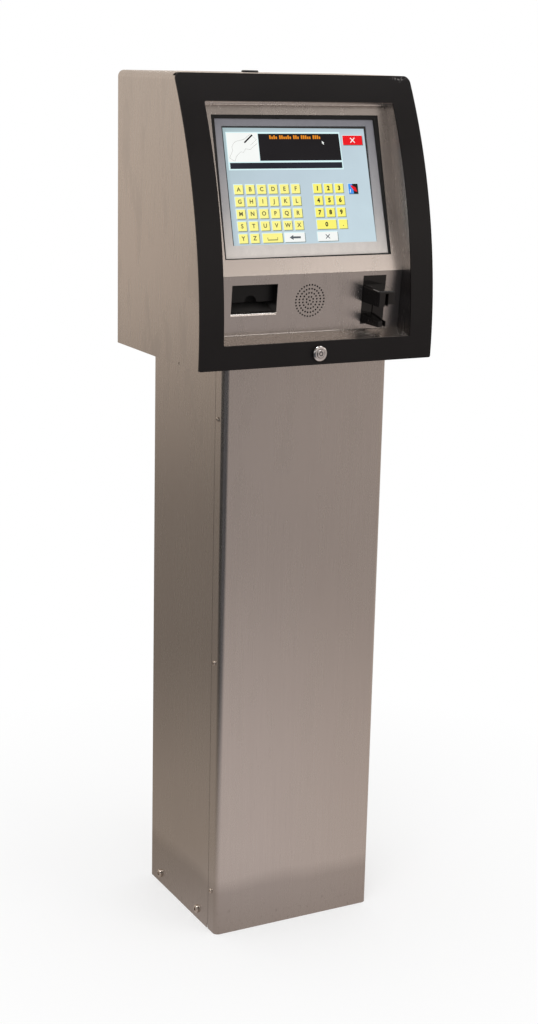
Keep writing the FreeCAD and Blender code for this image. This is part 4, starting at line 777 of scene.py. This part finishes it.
def build_display_board():
    """Driver board on pillars behind the display, and a small lamp supply beside it."""
    boards = Shape()
    boards.block(-70, 50, BOARD_Y, BOARD_TOP, 72, 178, 0.3)
    boards.block(78, 134, LAMP_BOARD_Y, LAMP_BOARD_TOP, 60, 190, 0.3)
    piece("display_boards", boards, "front_door", CIRCUIT, ON_SCREEN)
    pillars = Shape()
    for x, z in ((-66, 76), (46, 76), (-66, 174), (46, 174)):
        pillars.rod((x, 35.5, z), (x, BOARD_Y, z), 3.0, 6)
        pillars.rod((x, BOARD_TOP, z), (x, BOARD_TOP + 2.0, z), 2.6, 20, 0.5)
    for x, z in ((82, 64), (130, 64), (82, 186), (130, 186)):
        pillars.rod((x, 29.5, z), (x, LAMP_BOARD_Y, z), 3.0, 6)
        pillars.rod((x, LAMP_BOARD_TOP, z), (x, LAMP_BOARD_TOP + 1.8, z), 2.4, 20, 0.5)
    piece("board_pillars", pillars, "front_door", ZINC, ON_SCREEN, True)
    leaded_beside = ((-20, 128, 14, 14), (-50, 140, 5, 5))
    leaded_above_and_below = ((18, 140, 8, 5), (18, 118, 8, 5), (-50, 110, 6, 9))
    chips = Shape()
    for x, z, w, h in leaded_beside + leaded_above_and_below:
        chip(chips, x, z, w, h, 1.8, BOARD_TOP)
    for x, z, w, h in ((96, 80, 4, 3), (116, 120, 5, 4), (96, 150, 3, 3)):
        chip(chips, x, z, w, h, 2.0, LAMP_BOARD_TOP)
    piece("board_chips", chips, "front_door", SATIN_BLACK, ON_SCREEN)
    legs = Shape()
    foot, leg_top = 1.6, BOARD_TOP + 0.5
    for x, z, w, h in leaded_beside:
        for up in range(z - h + 2, z + h - 1, 2):
            legs.block(x - w - foot, x + w + foot, BOARD_TOP, leg_top, up - 0.3, up + 0.3)
    for x, z, w, h in leaded_above_and_below:
        for across in range(x - w + 1, x + w, 2):
            legs.block(across - 0.3, across + 0.3, BOARD_TOP, leg_top, z - h - foot, z + h + foot)
    piece("chip_legs", legs, "front_door", HARDWARE, ON_SCREEN)
    sockets = Shape()
    for x0, x1, z0, z1, tall in ((-60, -36, 76, 82, 7), (-28, -8, 76, 82, 7), (4, 34, 75, 83, 8),
                                 (40, 48, 100, 130, 6)):
        sockets.block(x0, x1, BOARD_TOP, BOARD_TOP + tall, z0, z1, 0.5)
    for z in (66, 176):
        sockets.block(98, 116, LAMP_BOARD_TOP, 42, z, z + 8, 0.5)
    piece("board_sockets", sockets, "front_door", WHITE_PLASTIC, ON_SCREEN)
    cans = Shape()
    for x, z, r, tall in ((36, 160, 5, 11), (22, 164, 4, 9), (8, 166, 4, 9), (-58, 164, 4, 9)):
        cans.rod((x, BOARD_TOP, z), (x, BOARD_TOP + tall, z), r, 24, 0.6)
    for z in (104, 134):
        cans.rod((88, LAMP_BOARD_TOP, z), (88, LAMP_BOARD_TOP + 12, z), 5, 24, 0.6)
    piece("board_capacitors", cans, "front_door", GLOSS_BLACK, ON_SCREEN, True)
    coils = Shape()
    for z in (96, 128, 160):
        coils.block(104, 126, LAMP_BOARD_TOP, 44, z - 8, z + 8, 1.2)
    piece("lamp_coils", coils, "front_door", COPPER, ON_SCREEN)


def build_door_leads():
    """Leads inside the door: to the speaker, the card reader and the lamp supply."""
    plug = Shape()
    plug.block(-26.5, -9.5, BOARD_Y + 3, BOARD_Y + 8, 70.5, 77.5, 0.6)
    plug.block(5.5, 32.5, BOARD_Y + 3, BOARD_Y + 8.5, 69.5, 76.5, 0.6)
    piece("door_plugs", plug, "front_door", WHITE_PLASTIC, ON_SCREEN)
    speaker = spots((-20, BOARD_Y + 5.5, 73), (-20, BOARD_Y + 5.5, 60), (-17, BOARD_Y + 2, 40),
                    (-14, 30, 18), matrix=ON_SCREEN)
    speaker += spots((-10, 34, -12), (-8, 30, -30), (-7, 23.5, -37), matrix=ON_LOWER)
    wires("speaker_lead_red", [speaker], 0.9, "front_door", WIRE_RED)
    wires("speaker_lead_black", [beside(speaker, 3.0)], 0.9, "front_door", WIRE_BLACK)
    reader = spots((19, BOARD_Y + 6, 72), (19, BOARD_Y + 7, 58), (30, BOARD_Y + 10, 38),
                   (60, BOARD_Y + 16, 18), matrix=ON_SCREEN)
    reader += spots((95, 74, -10), (111, 76, -28), (111.5, 66, -43), (111.5, 55, -45),
                    matrix=ON_LOWER)
    wires("card_reader_lead", [reader], 2.0, "front_door", WIRE_GREY)
    lamp = spots((45, BOARD_Y + 5, 104), (58, BOARD_Y + 6, 96), (74, BOARD_Y + 2, 80), (92, 40, 66),
                 (107, 39, 70), matrix=ON_SCREEN)
    for i, material in enumerate((WIRE_RED, WIRE_BLUE, WIRE_BLACK)):
        lead = beside(lamp, dz=2.6 * i)
        wires("lamp_lead_%d" % (i + 1), [lead], 0.8, "front_door", material)
    ends = Shape()
    ends.block(-10.5, -2.5, 22.5, 25.5, -40, -34.5, 0.5)
    piece("speaker_tags", ends, "front_door", HARDWARE, ON_LOWER)


# ---- inside the head ------------------------------------------------------------------

def build_controller_details():
    """Plugs under the controller, its cover screws and two small lamps."""
    plugs = Shape()
    for x in (-62, -12, 63):
        plugs.block(x - 7.5, x + 7.5, 99.5, 110.5, 1172, 1190.6, 1.6)
    piece("controller_plugs", plugs, "machine", SATIN_BLACK)
    screws = Shape()
    for x, z in ((-89, 1195), (89, 1195), (-89, 1315), (89, 1315)):
        screws.rod((x, 92.0, z), (x, 90.4, z), 3.0, 20, 0.6)
    piece("controller_cover_screws", screws, "machine", HARDWARE, smooth=True)
    lamps = Shape()
    for x in (-6, 6):
        lamps.rod((x, 103, 1190.4), (x, 103, 1188.6), 1.5, 16, 0.4)
    piece("controller_lamps", lamps, "machine", GREY_PLASTIC, smooth=True)


def build_supply_details():
    """Terminal strip with its dividers, clamps and screws at the power supply's rear end."""
    left, ways, pitch = 70, 8, 7.5
    strip = Shape()
    strip.block(left, left + ways * pitch, 62.0, 70.0, 944, 954, 0.6)
    for i in range(ways + 1):
        strip.block(left + pitch * i, left + 1.2 + pitch * i, 61.8, 72.0, 943, 962, 0.3)
    piece("supply_terminals", strip, "machine", SATIN_BLACK)
    screws = Shape()
    for i in range(ways):
        x = left + 4.4 + pitch * i
        screws.rod((x, 66, 953.8), (x, 66, 956.6), 2.4, 16, 0.4)
        screws.block(x - 2.9, x + 2.9, 62.4, 71.2, 953.6, 954.8, 0.2)
    piece("supply_terminal_screws", screws, "machine", HARDWARE, smooth=True)


def build_printer_details():
    """Paper from the roll over the platen, a stepper motor, and the printer's own board."""
    web = Shape()
    left, right = -128.0, -62.0
    path = [(-42.6, 1035.5), (-44.2, 1032.6), (-47.5, 1031.35), (-58, 1031.15), (-69, 1031.15),
            (-75, 1030.6), (-79.5, 1029.0)]
    outline = [(y, z + 0.15) for y, z in path] + [(y, z - 0.10) for y, z in path[::-1]]
    near = [web.bm.verts.new((left, y, z)) for y, z in outline]
    far = [web.bm.verts.new((right, y, z)) for y, z in outline]
    count, half = len(outline), len(path)
    for i in range(count):
        j = (i + 1) % count
        web.bm.faces.new((near[i], near[j], far[j], far[i]))
    for row in (near, far):
        for i in range(half - 1):
            web.bm.faces.new((row[i], row[i + 1], row[count - 2 - i], row[count - 1 - i]))
    piece("paper_web", web, "machine", PAPER)
    motor = Shape()
    motor.rod((-51, -45, 985), (-33, -45, 985), 17.5, 40, 1.0)
    motor.block(-51.2, -49.4, -66, -24, 967, 1003, 0.4)
    piece("printer_motor", motor, "machine", ZINC, smooth=True)
    board = Shape()
    board.block(-130, -60, 30.0, 31.6, 966, 1018, 0.3)
    piece("printer_board", board, "machine", CIRCUIT)
    parts = Shape()
    parts.block(-106, -84, 31.6, 38.0, 970, 977, 0.5)
    parts.block(-76, -64, 31.6, 37.0, 990, 1008, 0.5)
    piece("printer_sockets", parts, "machine", WHITE_PLASTIC)
    chips = Shape()
    chip(chips, -104, 1000, 10, 7, 2.0, 31.6)
    chip(chips, -122, 980, 4, 6, 2.0, 31.6)
    piece("printer_chips", chips, "machine", SATIN_BLACK)


def build_head_leads():
    """Leads in the head, tied to the back panel between the boxes."""
    supply = spots((63, 105, 1173), (63, 106, 1158), (60, 118, 1135), (59, 133, 1105),
                   (59, 135, 1060), (58, 134, 1010), (62, 112, 985), (74, 92, 975), (82, 74, 966),
                   (82, 67, 958))
    wires("supply_lead_red", [supply], 1.4, "machine", WIRE_RED)
    wires("supply_lead_black", [beside(supply, -3.4)], 1.4, "machine", WIRE_BLACK)
    data = spots((-62, 105, 1173), (-62, 106, 1158), (-64, 118, 1135), (-66, 133, 1105),
                 (-66, 135, 1060), (-70, 128, 1015), (-84, 96, 985), (-95, 62, 972), (-95, 44, 972),
                 (-95, 36, 973))
    wires("printer_lead", [data], 2.3, "machine", WIRE_GREY)
    fan = spots((72, 121, 1006), (66, 122, 1000), (66, 108, 985), (78, 92, 980), (94, 74, 968),
                (97, 67, 958))
    wires("fan_lead_red", [fan], 0.8, "machine", WIRE_RED)
    wires("fan_lead_black", [beside(fan, 2.0)], 0.8, "machine", WIRE_BLACK)
    motor = spots((-42, -30, 990), (-41, -16, 992), (-44, 10, 996), (-52, 38, 1000), (-66, 37, 1000))
    strands = [beside(motor, dz=2.0 * i) for i in range(3)]
    wires("motor_lead", strands, 0.8, "machine", WIRE_BLUE)
    ties = Shape()
    for x, z in ((57.3, 1080), (57.3, 1030), (-66, 1080)):
        ties.block(x - 5.5, x + 5.5, 131.2, 132.4, z - 2, z + 2, 0.3)
        ties.block(x - 5.5, x - 4.3, 131.2, 141.0, z - 2, z + 2, 0.3)
        ties.block(x + 4.3, x + 5.5, 131.2, 141.0, z - 2, z + 2, 0.3)
        ties.block(x - 9, x + 9, 139.2, 141.0, z - 6, z + 6, 0.4)
    piece("cable_ties", ties, "machine", SATIN_BLACK)


draw_keys()
draw_message()
draw_stop_button_and_icon()
draw_margin_and_shadow()
build_display_board()
build_door_leads()
build_controller_details()
build_supply_details()
build_printer_details()
build_head_leads()


# ---- camera, light and floor ----------------------------------------------------------

def make_camera():
    """A long lens from the front left, a little above the screen, rolled slightly."""
    yaw, pitch, roll = 0.489, -0.249, 0.023
    place = (-1.32227, -2.4968, 1.38293)
    flat = math.cos(pitch)
    ahead = Vector((math.sin(yaw) * flat, math.cos(yaw) * flat, math.sin(pitch)))
    level = Vector((math.cos(yaw), -math.sin(yaw), 0))
    up = level.cross(ahead)
    right = level * math.cos(roll) + up * math.sin(roll)
    above = up * math.cos(roll) - level * math.sin(roll)
    data = bpy.data.cameras.new("camera")
    data.sensor_fit = "VERTICAL"
    data.sensor_height = 36.0
    data.lens = 63.1
    camera = bpy.data.objects.new("camera", data)
    turn = Matrix((right, above, -ahead)).transposed().to_4x4()
    camera.matrix_world = Matrix.Translation(place) @ turn
    bpy.context.scene.collection.objects.link(camera)
    bpy.context.scene.camera = camera


def area_light(name, place, target, size, power):
    """A soft light that gloss doesn't see: what gloss sees is in the world and the floor."""
    data = bpy.data.lights.new(name, "AREA")
    data.shape = "RECTANGLE"
    data.size, data.size_y = size
    data.energy = power
    light = bpy.data.objects.new(name, data)
    light.location = place
    way = Vector(target) - Vector(place)
    light.rotation_euler = way.to_track_quat("-Z", "Y").to_euler()
    light.visible_glossy = False
    bpy.context.scene.collection.objects.link(light)


WHITE_BACKDROP = 1.0
ROOM_FILL = 0.85
WARM = (1.0, 0.915, 0.85)
WARM_BEHIND = (1.0, 0.89, 0.79)
WARM_FLOOR_BEHIND = (0.92, 0.79, 0.68)
PALE_FLOOR = (1.02, 0.925, 0.905)
BROWN_FLOOR = (0.92, 0.81, 0.755)
DARK_SIDE = (0.13, 0.15, 0.175)
GREY_SIDE_ABOVE = (0.52, 0.57, 0.62)
FULL = (1.0, 1.0, 1.0)

# What gloss sees, as (place, grey) stops: by height ahead of the machine and behind it, and how
# fully lit it is ahead, from the left to the right.
AHEAD = [(0.0, 0.48), (0.15, 0.65), (0.20, 2.20), (0.26, 2.20), (0.30, 1.35), (0.357, 1.35),
         (0.380, 0.32), (0.60, 0.26), (1.0, 0.40)]
BEHIND = [(0.0, 0.85), (0.5, 0.80), (1.0, 0.60)]
LEFT_TO_RIGHT = [(0.08, 0.0), (0.11, 0.9), (0.16, 0.9), (0.20, 0.0), (0.25, 0.0), (0.60, 1.0)]
# Round lamps overhead: direction, cosines at the full and the faded edge, and strength.
LAMPS = (((0.50, -0.18, 0.84), 0.988, 0.970, 2.5), ((-0.18, -0.10, 0.98), 0.992, 0.975, 12.0))
# The floor's tone for gloss, from far behind the machine (0) to far ahead of it (1), along a line
# that goes FLOOR_AHEAD to the right and to the front.
FLOOR_TONE = [
    (0.045, 1.02), (0.108, 0.86), (0.147, 0.55), (0.208, 0.32), (0.30, 0.28), (0.385, 0.42),
    (0.46, 0.47), (0.57, 0.76), (0.65, 0.73), (0.715, 0.62), (0.77, 0.48), (0.81, 0.60),
    (0.853, 0.60), (0.97, 0.50)]
FLOOR_AHEAD = (0.455, 0.855)


def make_world():
    """White to the eye; to gloss, a studio with a lit sweep ahead, a wall behind, dark beside."""
    world = bpy.data.worlds.new("studio")
    bpy.context.scene.world = world
    world.use_nodes = True
    world.node_tree.nodes.clear()
    m = Nodes(world.node_tree, "Generated")
    rise = m.axis("Z")
    ahead = m.ramp(rise, AHEAD)
    behind = m.ramp(rise, BEHIND)
    dim = m.mix(m.span(rise, 0.12, 0.42), DARK_SIDE, GREY_SIDE_ABOVE)
    across = m.ramp(m.span(m.axis("X"), -1.0, 1.0), LEFT_TO_RIGHT)
    side = m.mix(across, dim, FULL)
    ahead = m.mix(1.0, ahead, side, "MULTIPLY")
    ahead = m.mix(1.0, ahead, WARM, "MULTIPLY")
    behind = m.mix(1.0, behind, WARM_BEHIND, "MULTIPLY")
    gloss = m.mix(m.span(m.axis("Y"), -0.2, 0.3), ahead, behind)
    for way, near, far, strength in LAMPS:
        toward = m.node("VectorMath", operation="DOT_PRODUCT")
        m.join(m.place, toward.inputs[0])
        toward.inputs[1].default_value = Vector(way).normalized()
        glow = m.span(toward.outputs["Value"], far, near, 0.0, strength)
        gloss = m.mix(1.0, gloss, m.grey(glow), "ADD")
    path = m.node("LightPath")
    color = m.mix(path.outputs["Is Glossy Ray"], (ROOM_FILL,) * 3, gloss)
    color = m.mix(path.outputs["Is Camera Ray"], color, (WHITE_BACKDROP,) * 3)
    light = m.node("Background")
    m.join(color, light.inputs["Color"])
    m.join(light.outputs["Background"], m.node("OutputWorld").inputs["Surface"])


def make_floor():
    """Pale floor that fades into the backdrop, and returns softer light to gloss."""
    mesh = bpy.data.meshes.new("floor")
    bm = bmesh.new()
    bmesh.ops.create_grid(bm, x_segments=1, y_segments=1, size=30)
    bm.to_mesh(mesh)
    bm.free()
    floor = bpy.data.objects.new("floor", mesh)
    bpy.context.scene.collection.objects.link(floor)
    material = bpy.data.materials.new("floor_white")
    material.use_nodes = True
    material.node_tree.nodes.clear()
    m = Nodes(material.node_tree, "Object")
    x, y = m.axis("X"), m.axis("Y")
    ahead_x, ahead_y = FLOOR_AHEAD
    along = m.math("SUBTRACT", m.math("MULTIPLY", x, ahead_x), m.math("MULTIPLY", y, ahead_y))
    across = m.math("ADD", m.math("MULTIPLY", x, ahead_y), m.math("MULTIPLY", y, ahead_x))
    bent = m.math("DIVIDE", along, m.math("ADD", m.math("ABSOLUTE", along), 2.0))
    tone = m.ramp(m.span(bent, -1.0, 1.0), FLOOR_TONE)
    far = m.math("SQRT", m.math("ADD", m.math("MULTIPLY", x, x), m.math("MULTIPLY", y, y)))
    side = m.mix(m.span(across, -1.3, -0.35), DARK_SIDE, FULL)
    ahead = m.mix(m.span(across, -0.13, 0.13), PALE_FLOOR, BROWN_FLOOR)
    warm = m.mix(m.span(along, -0.3, 0.2), WARM_FLOOR_BEHIND, ahead)
    tone = m.mix(1.0, m.mix(1.0, tone, side, "MULTIPLY"), warm, "MULTIPLY")
    glow = m.node("Emission")
    m.join(tone, glow.inputs["Color"])
    plain = m.node("Emission")
    plain.inputs["Color"].default_value = (WHITE_BACKDROP,) * 3 + (1.0,)
    matt = m.node("BsdfDiffuse")
    matt.inputs["Color"].default_value = (0.93, 0.93, 0.93, 1.0)
    path = m.node("LightPath")
    seen, shown = m.node("MixShader"), m.node("MixShader")
    m.join(m.span(far, 0.15, 1.0, 0.55, 1.0), seen.inputs["Fac"])
    m.join(matt.outputs["BSDF"], seen.inputs[1])
    m.join(plain.outputs["Emission"], seen.inputs[2])
    m.join(path.outputs["Is Glossy Ray"], shown.inputs["Fac"])
    m.join(seen.outputs["Shader"], shown.inputs[1])
    m.join(glow.outputs["Emission"], shown.inputs[2])
    m.join(shown.outputs["Shader"], m.node("OutputMaterial").inputs["Surface"])
    mesh.materials.append(material)


bpy.context.scene.view_settings.view_transform = "Standard"
make_camera()
make_world()
make_floor()
area_light("key", (-2.6, -2.6, 3.2), (0, 0, 0.9), (2.2, 2.2), 45)
area_light("front_right", (2.4, -3.2, 2.2), (0, 0, 0.8), (2.0, 2.6), 25)
